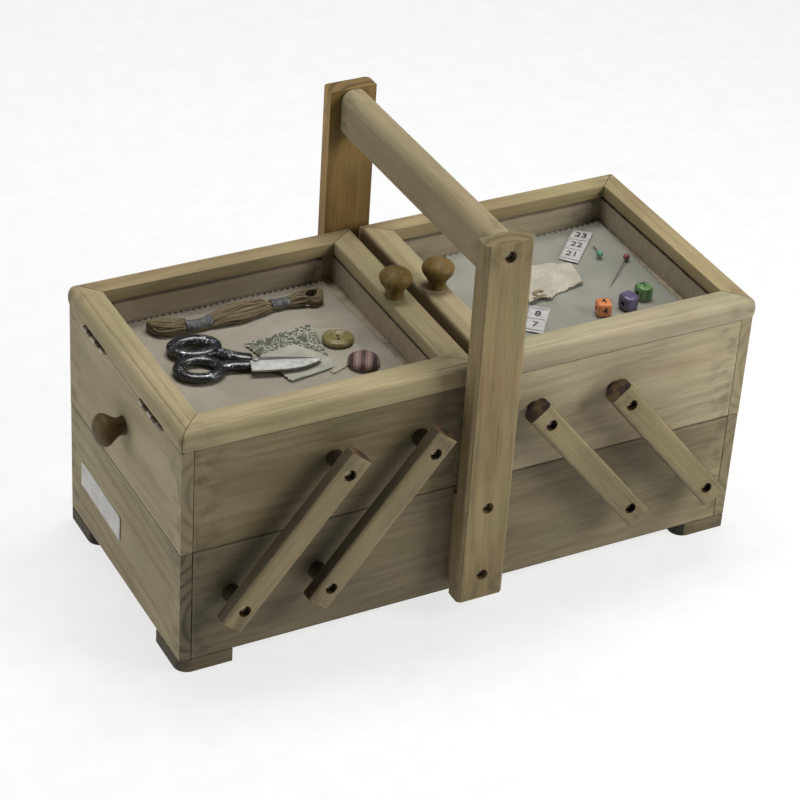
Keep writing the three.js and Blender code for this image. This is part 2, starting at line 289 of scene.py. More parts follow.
class Value:
    """An output of a node. Arithmetic on it adds Math nodes."""

    def __init__(self, shader, socket):
        self.shader, self.socket = shader, socket

    def __add__(self, other):
        return self.shader.math("ADD", self, other)

    def __sub__(self, other):
        return self.shader.math("SUBTRACT", self, other)

    def __rsub__(self, other):
        return self.shader.math("SUBTRACT", other, self)

    def __mul__(self, other):
        return self.shader.math("MULTIPLY", self, other)

    def __abs__(self):
        return self.shader.math("ABSOLUTE", self)


class Shader:
    """A material and short ways to add its nodes. Values may be numbers, colours or outputs.
    board holds the object's coordinates in millimetres, turned and then shifted."""

    def __init__(self, name, turn=(0, 0, 0), shift=(0, 0, 0)):
        self.material = bpy.data.materials.new(name)
        self.material.use_nodes = True
        self.tree = self.material.node_tree
        self.tree.nodes.clear()
        self.board = self.mapped(self.node("TexCoord", output="Object"), 1 / MM, turn, shift)

    def node(self, kind, values=(), output=0, **settings):
        """Adds a node and gives one of its outputs."""
        node = self.tree.nodes.new("ShaderNode" + kind)
        for key, value in settings.items():
            setattr(node, key, value)
        for key, value in dict(values).items():
            socket = node.inputs[key]
            if isinstance(value, Value):
                self.tree.links.new(value.socket, socket)
            elif socket.type == "RGBA":
                socket.default_value = (*value, 1.0)
            else:
                socket.default_value = value
        return Value(self, node.outputs[output])

    def math(self, operation, *values, clamp=False):
        return self.node("Math", dict(enumerate(values)), operation=operation, use_clamp=clamp)

    def mapped(self, vector, scale, turn=(0, 0, 0), shift=(0, 0, 0)):
        """A vector scaled by one number or three, then turned, then shifted."""
        scale = scale if isinstance(scale, tuple) else (scale,) * 3
        values = {"Vector": vector, "Scale": scale, "Rotation": turn, "Location": shift}
        return self.node("Mapping", values)

    def noise(self, scale, detail=3.0, roughness=0.5, distortion=0.0, shift=(0, 0, 0)):
        """Noise over the board. scale is one number or three."""
        values = {"Vector": self.mapped(self.board, scale, shift=shift), "Scale": 1.0}
        values.update({"Detail": detail, "Roughness": roughness, "Distortion": distortion})
        return self.node("TexNoise", values)

    def wave(self, value, pitch, start=0.0):
        return self.math("SINE", value * (2 * pi / pitch) + start)

    def ramp(self, value, low, high, to_low=0.0, to_high=1.0):
        values = {"Value": value, "From Min": low, "From Max": high, "To Min": to_low, "To Max": to_high}
        return self.node("MapRange", values, interpolation_type="SMOOTHSTEP")

    def mix(self, share, first, second, blend="MIX"):
        values = {0: share, 6: first, 7: second}
        return self.node("Mix", values, 2, data_type="RGBA", blend_type=blend)

    def tones(self, value, low, high, first, second):
        """From the first colour, where the value is low, to the second, where it is high."""
        return self.mix(self.ramp(value, low, high), first, second)

    def shade(self, colour, factor):
        """A colour made darker or lighter by a factor."""
        return self.node("VectorMath", {0: colour, "Scale": factor}, operation="SCALE")

    def split(self, vector):
        outputs = self.node("SeparateXYZ", {0: vector}).socket.node.outputs
        return [Value(self, output) for output in outputs]

    def bump(self, height, depth, strength):
        """depth is in millimetres."""
        return self.node("Bump", {"Height": height, "Distance": depth * MM, "Strength": strength})

    def surface(self, value):
        output = self.tree.nodes.new("ShaderNodeOutputMaterial")
        self.tree.links.new(value.socket, output.inputs[0])
        return self.material

    def finish(self, colour, roughness, normal=None, **more):
        """A principled surface. Names in more have _ in place of spaces."""
        values = {key.replace("_", " "): value for key, value in more.items()}
        values.update({"Base Color": colour, "Roughness": roughness})
        if normal:
            values["Normal"] = normal
        return self.surface(self.node("BsdfPrincipled", values))


# A wood's tone: light and dark colour, how far its figure shows, and how dark its ends are
TONES = {
    "board": ((0.324, 0.276, 0.180), (0.216, 0.178, 0.108), 1.0, 0.62),
    # A lit and a shaded copy of one board follow: painted light on the right tray's front and painted shade
    # on the left tray's front.
    "lit_board": ((0.398, 0.340, 0.220), (0.268, 0.222, 0.134), 1.0, 0.62),
    "shaded_board": ((0.212, 0.173, 0.094), (0.132, 0.105, 0.050), 1.0, 0.60),
    "base_board": ((0.204, 0.170, 0.100), (0.128, 0.103, 0.055), 1.0, 0.60),
    "end_board": ((0.335, 0.281, 0.168), (0.228, 0.185, 0.104), 0.8, 0.66),
    # Copies whose end grain is lighter follow, for the right-hand ends: painted light.
    "lit_end_board": ((0.335, 0.281, 0.168), (0.228, 0.185, 0.104), 0.6, 0.92),
    "lit_base_end": ((0.305, 0.254, 0.146), (0.206, 0.166, 0.090), 0.6, 0.78),
    "base_end_board": ((0.305, 0.254, 0.146), (0.206, 0.166, 0.090), 1.6, 0.42),
    "lid": ((0.350, 0.290, 0.168), (0.245, 0.194, 0.104), 0.9, 0.60),
    "lid_dull": ((0.308, 0.246, 0.130), (0.214, 0.163, 0.080), 0.9, 0.60),
    "lid_grey": ((0.350, 0.300, 0.200), (0.245, 0.202, 0.124), 0.9, 0.60),
    "post": ((0.270, 0.208, 0.104), (0.177, 0.130, 0.059), 1.1, 0.62),
    "warm_post": ((0.276, 0.178, 0.060), (0.156, 0.090, 0.025), 1.6, 0.60),
    "bar": ((0.270, 0.222, 0.128), (0.206, 0.165, 0.090), 0.4, 0.60),
    "arm": ((0.252, 0.205, 0.109), (0.166, 0.130, 0.066), 1.0, 0.10),
    "foot": ((0.160, 0.130, 0.072), (0.080, 0.062, 0.032), 1.0, 0.45),
    "liner": ((0.450, 0.385, 0.285), (0.345, 0.295, 0.216), 0.15, 1.00),
    # The spacers' near-black is painted shade, for the dark gap between each arm and the wall.
    "spacer": ((0.060, 0.045, 0.025), (0.030, 0.020, 0.012), 1.0, 0.50),
}
GREEN_CAST = (0.90, 1.0, 0.92)
PINK_CAST = (1.0, 0.90, 0.86)
SCORCH = ((0.012, 0.007, 0.003), (0.075, 0.043, 0.015))
PITH_DEPTH = 18.0
GRAIN_TURN = {"X": (0, 0, 0), "Y": (0, 0, -pi / 2), "Z": (0, pi / 2, 0)}


def wood(name, tone, turn, low, high, seed, wear=1.0, drift=0.0, seam=0.0, side_tone=1.0,
         inward=None, burnt=False):
    """Washed, worn wood. turn brings the grain to X. low and high are the corners, in metres, of
    the turned board's box. drift paints light on one end and shade on the other, seam gives
    the upper and lower edges a line of dirt, side_tone darkens or lightens the sides that face
    neither the front nor the back (on the arms, painted shade), inward paints shade on the
    sides that face the way it points, and burnt gives warm dark ends."""
    light, dark, figure, end_tone = TONES[tone]
    dice = random.Random(seed)
    half = (Vector(high) - Vector(low)) / 2 / MM
    middle = Euler(turn).to_matrix() @ ((Vector(low) + Vector(high)) / 2)
    shader = Shader(name, turn, tuple(-middle / MM))
    local = shader.board
    shader.board = shader.mapped(local, 1.0, shift=tuple(dice.uniform(-400, 400) for _ in range(3)))

    def field(along, across, **options):
        return shader.noise((along, across, across), **options)

    patches = shader.ramp(field(0.016, 0.045, detail=2.0), 0.34, 0.66)
    streak = field(0.022, 0.62, detail=5.0, roughness=0.62, distortion=0.35)
    fine = field(0.07, 3.1, roughness=0.6)
    # growth rings round a pith that lies beside the board and leans a little
    x, y, z = shader.split(local)
    lean = dice.uniform(0.03, 0.075) * dice.choice((-1, 1))
    wobble = (field(0.018, 0.05, detail=2.0) - 0.5) * 16.0
    across = x * lean + z + (wobble + dice.uniform(-6, 6))
    depth = y + PITH_DEPTH
    radius = shader.math("SQRT", across * across + depth * depth)
    ring = shader.ramp(shader.wave(radius, dice.uniform(4.6, 6.4)), -0.2, 1.0)
    pores = shader.ramp(field(0.10, 2.2, detail=2.0), 0.60, 0.74)

    share = shader.math("ADD", patches * 0.55, shader.ramp(streak, 0.30, 0.72) * 0.55, clamp=True)
    colour = shader.mix(share, dark, light)
    green = shader.ramp(field(0.020, 0.030, detail=1.0), 0.50, 0.72, 0.0, 0.55)
    colour = shader.mix(green, colour, GREEN_CAST, "MULTIPLY")
    pink = shader.ramp(field(0.018, 0.05, detail=1.0, shift=(71, 13, 37)), 0.52, 0.72, 0.0, 0.35)
    colour = shader.mix(pink, colour, PINK_CAST, "MULTIPLY")
    tone_down = ring * (0.10 * figure) + pores * (0.16 * figure)
    tone_down = tone_down + shader.ramp(fine, 0.35, 0.70, 0.0, 0.06)
    colour = shader.shade(colour, 1.0 - tone_down)
    # Painted light and shade: the board is made lighter towards its +X end and darker towards its -X end, as
    # the light falls off across the base's front.
    if drift:
        along = x * (1 / half[0])
        rise = shader.math("POWER", shader.math("MAXIMUM", along, 0.0), 3.0)
        fall = shader.math("MINIMUM", along, 0.0)
        colour = shader.shade(colour, (rise * 1.5 + fall * 0.6) * drift + 1.0)

    # distance to the board's faces gives its edges, which are worn, and its ends, which are dirty
    gaps = [half[i] - abs(part) for i, part in enumerate((x, y, z))]
    nearer = shader.math("MINIMUM", *gaps[:2])
    farther = shader.math("MAXIMUM", *gaps[:2])
    edge = shader.math("MAXIMUM", nearer, shader.math("MINIMUM", farther, gaps[2]))
    blotch = field(0.10, 0.16)
    reach = shader.ramp(blotch, 0.35, 0.68) * 1.7
    worn = shader.math("LESS_THAN", edge, reach) * (0.30 * wear)
    colour = shader.mix(worn, colour, tuple(min(1.0, 1.18 * c) for c in light))
    grime = shader.ramp(gaps[0], 22.0, 2.0) * shader.ramp(blotch, 0.44, 0.66, 0.0, 0.34)
    colour = shader.shade(colour, 1.0 - grime)
    if seam:
        dirt = shader.ramp(shader.math("MAXIMUM", edge, gaps[2]), 0.95, 0.30)
        colour = shader.shade(colour, 1.0 - dirt * shader.ramp(blotch, 0.25, 0.60, 0.5 * seam, seam))

    normal = shader.node("TexCoord", output="Normal")
    values = {"Vector": normal, "Rotation": turn}
    turned = shader.split(shader.node("VectorRotate", values, rotation_type="EULER_XYZ"))
    arcs = shader.ramp(ring, 0.0, 1.0, end_tone * (1 + 0.12 * figure), end_tone * (1 - 0.20 * figure))
    plain = shader.mix(0.7, colour, tuple((a + b) / 2 for a, b in zip(light, dark)))
    ends = shader.shade(plain, arcs)
    if burnt:
        ends = shader.tones(blotch, 0.40, 0.62, *SCORCH)
    # The sides that face neither front nor back are scaled by side_tone; on the arms this darkening is
    # painted shade.
    if side_tone != 1:
        colour = shader.shade(colour, shader.ramp(abs(turned[1]), 0.70, 0.25, 1.0, side_tone))
    colour = shader.mix(shader.ramp(abs(turned[0]), 0.60, 0.86), colour, ends)
    # Painted shade: the sides that face the given direction are darkened almost to black, standing in for
    # the shade under the box.
    if inward:
        parts = shader.split(normal)
        facing = shader.math("MAXIMUM", parts[0] * inward[0], parts[1] * inward[1])
        colour = shader.shade(colour, shader.ramp(facing, 0.22, 0.42, 1.0, 0.14))

    bump = shader.bump(streak * 0.7 + fine * 0.45 - pores * 0.8, 0.22, 0.55)
    return shader.finish(colour, streak * 0.26 + 0.56, bump, Specular_IOR_Level=0.32)


def turned_wood(name, seed, tone):
    """The knobs' darker, waxed wood, with its grain along the turning axis."""
    shader = Shader(name, shift=(seed * 31.7, seed * 17.3, seed * 7.9))
    streak = shader.noise((0.55, 0.55, 0.055), detail=4.0, roughness=0.62)
    patches = shader.noise((0.10, 0.10, 0.06), detail=2.0)
    colour = shader.tones(streak, 0.20, 0.82, (0.062, 0.036, 0.007), (0.128, 0.086, 0.024))
    colour = shader.mix(shader.ramp(patches, 0.45, 0.70, 0.0, 0.5), colour, (0.115, 0.058, 0.012))
    rub = shader.ramp(shader.noise(0.22, detail=2.0), 0.45, 0.72, 0.0, 0.4)
    # tone scales the whole colour: below 1 it paints shade on the knobs of the tray ends, above 1 it paints
    # light on the lid knobs.
    colour = shader.shade(shader.mix(rub, colour, (0.170, 0.122, 0.045)), tone)
    bump = shader.bump(streak, 0.10, 0.4)
    return shader.finish(colour, streak * 0.20 + 0.46, bump, Specular_IOR_Level=0.24)


def metal(name, colour, dull, roughness, tarnish, pattern=0.9):
    """Plated metal with tarnish and fine scratches."""
    shader = Shader(name)
    spots = shader.noise(pattern, detail=4.0, roughness=0.65)
    scratch = shader.noise((0.5, 9.0, 9.0), detail=2.0)
    colour = shader.mix(shader.ramp(spots, 0.42, 0.68) * tarnish, colour, dull)
    bump = shader.bump(spots + scratch, 0.03, 0.4)
    return shader.finish(colour, spots * 0.28 + roughness, bump, Metallic=1.0)


def clear_glass():
    """A window pane: it lets light through and mirrors a little, with faint smears."""
    shader = Shader("lid_glass_clear")
    smear = shader.noise(0.028, distortion=0.6)
    gloss = {"Color": (0.95, 0.97, 0.96), "Roughness": shader.ramp(smear, 0.45, 0.75, 0.015, 0.10)}
    through = shader.node("BsdfTransparent", {"Color": (0.953, 0.948, 0.937)})
    facing = shader.node("LayerWeight", {"Blend": 0.5}, "Facing")
    share = shader.math("POWER", facing, 5.0) * 0.12 + 0.012
    mirrored = shader.node("BsdfGlossy", gloss)
    return shader.surface(shader.node("MixShader", {0: share, 1: through, 2: mirrored}))


def cotton(name, light, shade, pitch=0.55, depth=0.06):
    """Plain woven cotton with slubs and soft stains."""
    shader = Shader(name)
    x, y, _ = shader.split(shader.board)
    slub = shader.noise((0.16, 1.6, 1.0))
    weave = shader.wave(x, pitch) * shader.wave(y, pitch) + slub * 1.5
    colour = shader.tones(shader.noise(0.05), 0.36, 0.66, shade, light)
    colour = shader.shade(colour, shader.ramp(weave, -0.8, 1.9, 0.90, 1.03))
    return shader.finish(colour, shader.ramp(slub, 0.3, 0.7, 0.84, 0.94), shader.bump(weave, depth, 0.8),
                         Sheen_Weight=0.15, Sheen_Roughness=0.5, Specular_IOR_Level=0.2)


# ---------------- camera, light and floor

def make_camera():
    forward = CAMERA_FORWARD.normalized()
    right = (CAMERA_RIGHT - forward * forward.dot(CAMERA_RIGHT)).normalized()
    up = right.cross(forward)
    turn = Matrix((right, up, -forward)).transposed().to_4x4()
    data = bpy.data.cameras.new("Camera")
    data.lens = CAMERA_LENS
    data.sensor_width = 36.0
    data.clip_end = 20.0
    camera = bpy.data.objects.new("Camera", data)
    camera.matrix_world = Matrix.Translation(CAMERA_PLACE) @ turn
    bpy.context.scene.collection.objects.link(camera)
    bpy.context.scene.camera = camera


def softbox(name, place, size, power, colour=(1.0, 1.0, 1.0)):
    data = bpy.data.lights.new(name, "AREA")
    data.shape = "RECTANGLE"
    data.size, data.size_y = size
    data.energy = power
    data.color = colour
    light = bpy.data.objects.new(name, data)
    light.location = place
    aim = LIGHT_TARGET - Vector(place)
    light.rotation_euler = aim.to_track_quat("-Z", "Y").to_euler()
    bpy.context.scene.collection.objects.link(light)


def make_light():
    scene = bpy.context.scene
    scene.view_settings.view_transform = "Standard"
    world = bpy.data.worlds.new("Studio")
    world.use_nodes = True
    background = world.node_tree.nodes["Background"]
    background.inputs["Color"].default_value = (1.0, 1.0, 1.0, 1.0)
    background.inputs["Strength"].default_value = 0.05
    scene.world = world
    softbox("Key", (0.50, -0.52, 0.48), (0.40, 0.40), 4.9, (1.0, 0.98, 0.945))
    softbox("Top", (0.10, 0.20, 1.10), (0.70, 0.40), 11.7)
    softbox("Fill", (-1.00, 0.25, 0.35), (0.60, 0.50), 3.3)


def make_floor():
    shader = Shader("studio_floor")
    colour = shader.tones(shader.noise(0.06), 0.3, 0.7, (0.21, 0.21, 0.21), (0.235, 0.235, 0.235))
    material = shader.finish(colour, 0.9, Specular_IOR_Level=0.1, Emission_Color=(1.0, 1.0, 1.0),
                             Emission_Strength=0.72)
    edges = (-FLOOR_HALF, FLOOR_HALF)
    part = skin([[(x, y, 0) for x in edges] for y in edges])
    make("studio_floor", part, [material], unit=1.0)


# ---------------- the frame's own pieces

def finish_node(node, material, width=0.5, segments=2):
    """A CAD node keeps its mesh and gets a material and softened edges."""
    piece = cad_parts[node]
    piece.data.materials.clear()
    piece.data.materials.append(material)
    for name in ("custom_normal", "sharp_edge", "sharp_face"):
        attribute = piece.data.attributes.get(name)
        if attribute is not None:
            piece.data.attributes.remove(attribute)
    if width:
        piece.data.shade_smooth()
    else:
        piece.data.shade_flat()
    weld = piece.modifiers.new("Merge corners", "WELD")
    weld.merge_threshold = 0.01 * MM
    flat = piece.modifiers.new("Join flat faces", "DECIMATE")
    flat.decimate_type = "DISSOLVE"
    flat.angle_limit = radians(0.5)
    if width:
        bevel(piece, width, segments)


def wood_node(node, tone, turn, seed, width=0.5, **more):
    """Wood for a CAD node. The box that wood() gets is that of the node turned by turn, with its
    middle turned back."""
    matrix = Euler(turn).to_matrix()
    low, high = limits([matrix @ v.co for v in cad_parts[node].data.vertices])
    middle, half = matrix.inverted() @ ((low + high) / 2), (high - low) / 2
    finish_node(node, wood("wood_" + node, tone, turn, middle - half, middle + half, seed, **more), width)


def board_node(node, tone, seed, width, **more):
    """A board of the base or a tray. The grain of an end runs along Y, that of any other along X."""
    grain, seam = ("Y", 0.35) if node.endswith("_end") else ("X", 0.55)
    wood_node(node, tone, GRAIN_TURN[grain], seed, width, seam=seam, **more)


def finish_boards():
    seeds = count(11)
    # The base's front panel gets a painted light falloff, lighter towards its right end.
    for part, tone, drift in (("front_panel", "base_board", 0.38), ("back_panel", "board", 0.0),
                              # the right end board takes the copy with painted light on its end grain
                              ("left_end", "base_end_board", 0.0), ("right_end", "lit_base_end", 0.0),
                              ("floor", "board", 0.0)):
        board_node("base_" + part, tone, next(seeds), 0.5, drift=drift)
    for side, sign in SIDES.items():
        # The right tray's front and outer end take the lit copies (painted light), the left tray's front the
        # shaded copy (painted shade).
        front, outer = ("lit_board", "lit_end_board") if side == "right" else ("shaded_board", "end_board")
        for part, tone in (("front_panel", front), ("back_panel", "board"), ("inner_end", "end_board"),
                           ("outer_end", outer), ("floor", "board")):
            board_node(f"{side}_tray_{part}", tone, next(seeds), 0.45)
        wood_node(f"{side}_lid_display_box", "liner", GRAIN_TURN["X"], next(seeds), 0.25)
        for row, sign_y in ROWS.items():
            # The feet's sides that face in under the box get painted shade.
            wood_node(f"foot_{row}_{side}", "foot", GRAIN_TURN["X"], next(seeds), 0.6,
                      inward=(-sign, -sign_y))


def finish_handle():
    wood_node("handle_post_front", "post", GRAIN_TURN["Z"], 51)
    wood_node("handle_post_back", "warm_post", GRAIN_TURN["Z"], 52, side_tone=1.4)
    wood_node("handle_bar", "bar", GRAIN_TURN["Y"], 53, 0.6)


def finish_arms():
    """Each arm's grain runs from its lower to its upper pivot."""
    seeds = count(61)
    for side in SIDES:
        for row in ROWS:
            for place in PLACES:
                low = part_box(f"{side}_base_pivot_{row}_{place}")
                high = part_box(f"{side}_tray_pivot_{row}_{place}")
                way = sum(high, Vector()) - sum(low, Vector())
                # The arms' sides are darkened: painted shade, standing in for the side faces' shade and the
                # arms' shadow on the wall beside them.
                wood_node(f"{side}_arm_{row}_{place}", "arm", (0, atan2(way.z, way.x), 0), next(seeds),
                          0.7, side_tone=0.38, burnt=True)


# ---------------- screws, spacers and hinges

def make_screw(name, material, shank_end, head_base, matrix):
    """A wood screw along +Z with a pan head and a cross recess."""
    profile = [(0, shank_end), (1.1, shank_end + 0.8), (SHANK_RADIUS, shank_end + 1.6),
               (SHANK_RADIUS, head_base), (HEAD_RADIUS, head_base), (HEAD_RADIUS, head_base + HEAD_EDGE)]
    profile += [(HEAD_RADIUS * cos(turn * 0.86), head_base + HEAD_EDGE + HEAD_DOME * sin(turn))
                for turn in quarter_turn(6, 1)]
    top = head_base + HEAD_EDGE + HEAD_DOME
    profile.append((0, top))
    screw = outward(make(name, lathe(profile, 28), [material]))
    arm, half, deep = RECESS
    cut_away(screw, *(make(name + "_cut", block((-x, -y, top - deep), (x, y, top + 1)))
                      for x, y in ((arm, half), (half, arm))))
    return smoothed(transformed(screw, matrix), 40)


def out_of_wall(x, y, z, row, turn):
    """A matrix that stands a +Z part out of the front or back wall."""
    upright = rotation(pi / 2, "X") @ rotation(turn, "Z")
    return translation(x, y, z) @ mirror(-1 if row == "back" else 1, (0, 1, 0)) @ upright


def make_pivots():
    """The screws and spacers of the arms, then the screws of the posts."""
    brass = metal("screw_plating", (0.62, 0.56, 0.42), (0.10, 0.07, 0.04), 0.20, 0.85)
    # Near-black wood for the spacers: painted shade of the gap behind the arms.
    shaded_spacer_wood = wood("wood_spacers_painted_shade", "spacer", GRAIN_TURN["Y"], (-0.2, -0.1, 0), (0.2, 0.1, 0.2), 91, 0.0)
    spacer = lathe([(1.8, 0.35), (4.2, 0.35), (4.5, 0.7), (4.35, 2.0), (4.2, 3.5), (4.35, 5.0),
                    (4.5, 6.3), (4.2, 6.65), (1.8, 6.65), (1.8, 0.35)], 28)
    dice = random.Random(5)
    for side in SIDES:
        for level, body in (("base", "base"), ("tray", f"{side}_tray")):
            for row, sign in ROWS.items():
                for place in PLACES:
                    node = f"{side}_{level}_pivot_{row}_{place}"
                    middle = sum(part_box(node), Vector()) / 2
                    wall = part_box(f"base_{row}_panel")[sign > 0].y
                    stand = out_of_wall(middle.x, wall, middle.z, row, dice.uniform(0, pi))
                    stem = f"{side}_{level}_{row}_{place}"
                    screw = make_screw(stem + "_screw", brass, -5.7, 12.5, stand)
                    ring = outward(make(stem + "_spacer", spacer, [shaded_spacer_wood], 40, stand))
                    for piece in (screw, ring):
                        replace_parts(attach(piece, body), node)
    for row, sign in ROWS.items():
        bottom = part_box("handle_post_" + row)[sign > 0].y - sign * COUNTERBORE_DEPTH * MM
        for i, height in enumerate(POST_SCREWS_Z):
            stand = out_of_wall(0, bottom, height * MM, row, dice.uniform(0, pi))
            screw = make_screw(f"post_{row}_screw_{i + 1}", brass, -8.0 if i < 2 else -5.0, 0.05, stand)
            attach(screw, "base")


def make_hinges():
    plated = metal("hinge_plating", (0.44, 0.41, 0.35), (0.10, 0.08, 0.05), 0.28, 0.95, 0.14)
    rusty = metal("hinge_tarnished", (0.12, 0.10, 0.07), (0.05, 0.035, 0.025), 0.45, 0.9)
    step = HINGE_LENGTH / KNUCKLES
    ends = (KNUCKLE_GAP, step - KNUCKLE_GAP)
    knuckle = lathe([(BORE_RADIUS, ends[0]), (KNUCKLE_RADIUS, ends[0]), (KNUCKLE_RADIUS, ends[1]),
                     (BORE_RADIUS, ends[1]), (BORE_RADIUS, ends[0])], 24)
    for side, sign in SIDES.items():
        for row in ROWS:
            node = f"{side}_hinge_leaf_{row}"
            finish_node(node, plated, 0.12, 1)
            low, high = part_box(node)
            pin_x = max(abs(low.x), abs(high.x)) / MM - KNUCKLE_RADIUS
            pin_z = high.z / MM - KNUCKLE_RADIUS
            leaf_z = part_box(f"{side}_lid_frame")[0].z / MM + 0.12
            parts = []
            for i in range(KNUCKLES):
                start = i * step - HINGE_LENGTH / 2
                reach = pin_x - 0.4 if i % 2 else pin_x - KNUCKLE_RADIUS - HINGE_GAP
                wider = -KNUCKLE_GAP if i % 2 else KNUCKLE_GAP
                ends = (start - wider * (i > 0), start + step + wider * (i < KNUCKLES - 1))
                parts.append(block((pin_x - LEAF_WIDTH, ends[0], leaf_z),
                                   (reach, ends[1], leaf_z + LEAF_THICKNESS)))
                if i % 2:
                    parts.append(moved(knuckle, translation(pin_x, start, pin_z) @ rotation(-pi / 2, "X")))
            place = translation(0, (low.y + high.y) / 2, 0) @ mirror(sign, (1, 0, 0))
            leaf = make(f"{side}_hinge_upper_leaf_{row}", together(*parts), [rusty], 35, place)
            bevel(outward(leaf), 0.1, 1)
            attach(leaf, f"{side}_lid")
            make_leaf_screws(side, row, pin_x - LEAF_WIDTH + 1.5, leaf_z, place, plated)


def make_leaf_screws(side, row, x, leaf_z, place, material):
    """Two flush screws in each leaf. The lower leaf's face up, the upper leaf's face down."""
    tray_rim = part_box(f"{side}_tray_front_panel")[1].z / MM
    head = lathe([(0, -0.5), (0.6, -0.4), (1.05, 0.0), (0.95, 0.05), (0, 0.07)], 16)
    slot = block((-0.9, -0.14, 0.05), (0.9, 0.14, 0.10))
    for level, z, way, body in (("lower", tray_rim, 1, "tray"), ("upper", leaf_z, -1, "lid")):
        turns = [translation(x, y, z) @ mirror(way, (0, 0, 1)) for y in (-8.0, 8.0)]
        part = together(*(moved(shape, turn) for turn in turns for shape in (head, slot)))
        screws = outward(make(f"{side}_hinge_{level}_screws_{row}", part, [material], 35, place))
        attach(screws, f"{side}_{body}")


# ---------------- lids

def rail_section():
    """The moulding, as (inset from the lid's outer edge, height, inset on the plain side that
    meets the other lid)."""
    points = []
    for turn in reversed(quarter_turn(7)):
        foot = 1 - cos(turn)
        points.append((NOSING_FOOT * foot, NOSING_WIDEST * (1 - sin(turn)), 0.4 * foot ** 3))
    for turn in quarter_turn(7, 1):
        height = NOSING_WIDEST + (NOSING_STEP - NOSING_WIDEST) * sin(turn)
        points.append((NOSING_DEPTH * (1 - cos(turn)), height, 0.3 * (1 - cos(turn)) ** 3))
    points += [(3.78, 10.52, 0.38), (4.0, 10.78, 0.52), (4.4, 10.94, 0.75), (4.9, LID_HEIGHT, 1.1)]
    points += [(inset, height, inset) for inset, height in (
        (RAIL_WIDTH - 0.6, LID_HEIGHT), (RAIL_WIDTH - 0.18, LID_HEIGHT - 0.18),
        (RAIL_WIDTH, LID_HEIGHT - 0.6), (RAIL_WIDTH, REBATE_DEPTH),
        (REBATE_INSET, REBATE_DEPTH), (REBATE_INSET, 0))]
    return points


def rail(length, plain_side, plain_ends):
    """A rail along X from corner to corner, its outer edge at y = 0, mitred at both ends.
    plain_ends tells which ends meet the lid's plain rail."""
    shares = [i / 3 for i in range(4)]
    rows = []
    for end, share in [(0, s) for s in shares] + [(1, s) for s in reversed(shares)]:
        row = []
        for inset, height, plain in rail_section():
            radius = max(LID_CORNER - inset, 0.4)
            turn = radians(45) * (1 + share)
            x = (plain if plain_ends[end] else inset) + radius * (1 - cos(turn))
            y = (plain if plain_side else inset) + radius * (1 - sin(turn))
            x += MITRE_GAP * (0.7 * (1 - share) + share)
            row.append((length - x if end else x, y, height))
        rows.append(row)
    return skin(rows, closed=True, capped=True)


def make_lid_rails():
    seeds = count(101)
    for side, sign in SIDES.items():
        node = f"{side}_lid_frame"
        low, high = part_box(node)
        wide, deep = (high.x - low.x) / MM, (high.y - low.y) / MM
        right, left = PLACES[::sign]
        for quarter, (place, x, y, length, grain) in enumerate((
                ("front", low.x, low.y, wide, "X"), (right, high.x, low.y, deep, "Y"),
                ("back", high.x, high.y, wide, "X"), (left, low.x, high.y, deep, "Y"))):
            tone = "lid_dull" if place == "back" else "lid"
            if side == "right":
                tone = {"outer": "lid_dull", "front": "lid_grey"}.get(place, tone)
            ends = ("front", "back")[::sign]
            part = rail(length, place == "inner", [place == end for end in ends])
            matrix = translation(x, y, low.z) @ rotation(pi / 2 * quarter, "Z")
            piece = outward(make(f"{side}_lid_rail_{place}", part, matrix=matrix))
            if place == "outer":
                cut_hinge_recesses(piece, side, sign)
            # no wear by distance across the rail, because its nosing is round
            bottom, top = limits([v.co for v in piece.data.vertices])
            bottom.z -= 2 * MM
            margin = Vector((0, 5, 0) if grain == "X" else (5, 0, 0)) * MM
            bottom, top = bottom - margin, top + margin
            turn = GRAIN_TURN[grain]
            middle = (bottom + top) / 2
            half = Vector([abs(c) for c in Euler(turn).to_matrix() @ ((top - bottom) / 2)])
            piece.data.materials.clear()
            piece.data.materials.append(wood(f"wood_{side}_rail_{place}", tone, turn, middle - half,
                                             middle + half, next(seeds), 0.5))
            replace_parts(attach(smoothed(piece, 28), f"{side}_lid"), node)


def cut_hinge_recesses(piece, side, sign):
    """Room for each hinge's leaf and its knuckles, in the underside of an outer rail."""
    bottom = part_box(f"{side}_lid_frame")[0].z / MM
    for row in ROWS:
        low, high = (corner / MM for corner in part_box(f"{side}_hinge_leaf_{row}"))
        pin = sign * (max(abs(low.x), abs(high.x)) - KNUCKLE_RADIUS)
        room = KNUCKLE_RADIUS + KNUCKLE_ROOM
        leaf = sorted((pin - sign * (LEAF_WIDTH + HINGE_GAP), pin))
        for name, ends, below, above in (("leaf_cut", leaf, 1.0, 0.9),
                                         ("knuckle_cut", (pin - room, pin + room), 1.01, 1.55)):
            cut_away(piece, make(name, block((ends[0], low.y - 0.3, bottom - below),
                                             (ends[1], high.y + 0.3, bottom + above))))


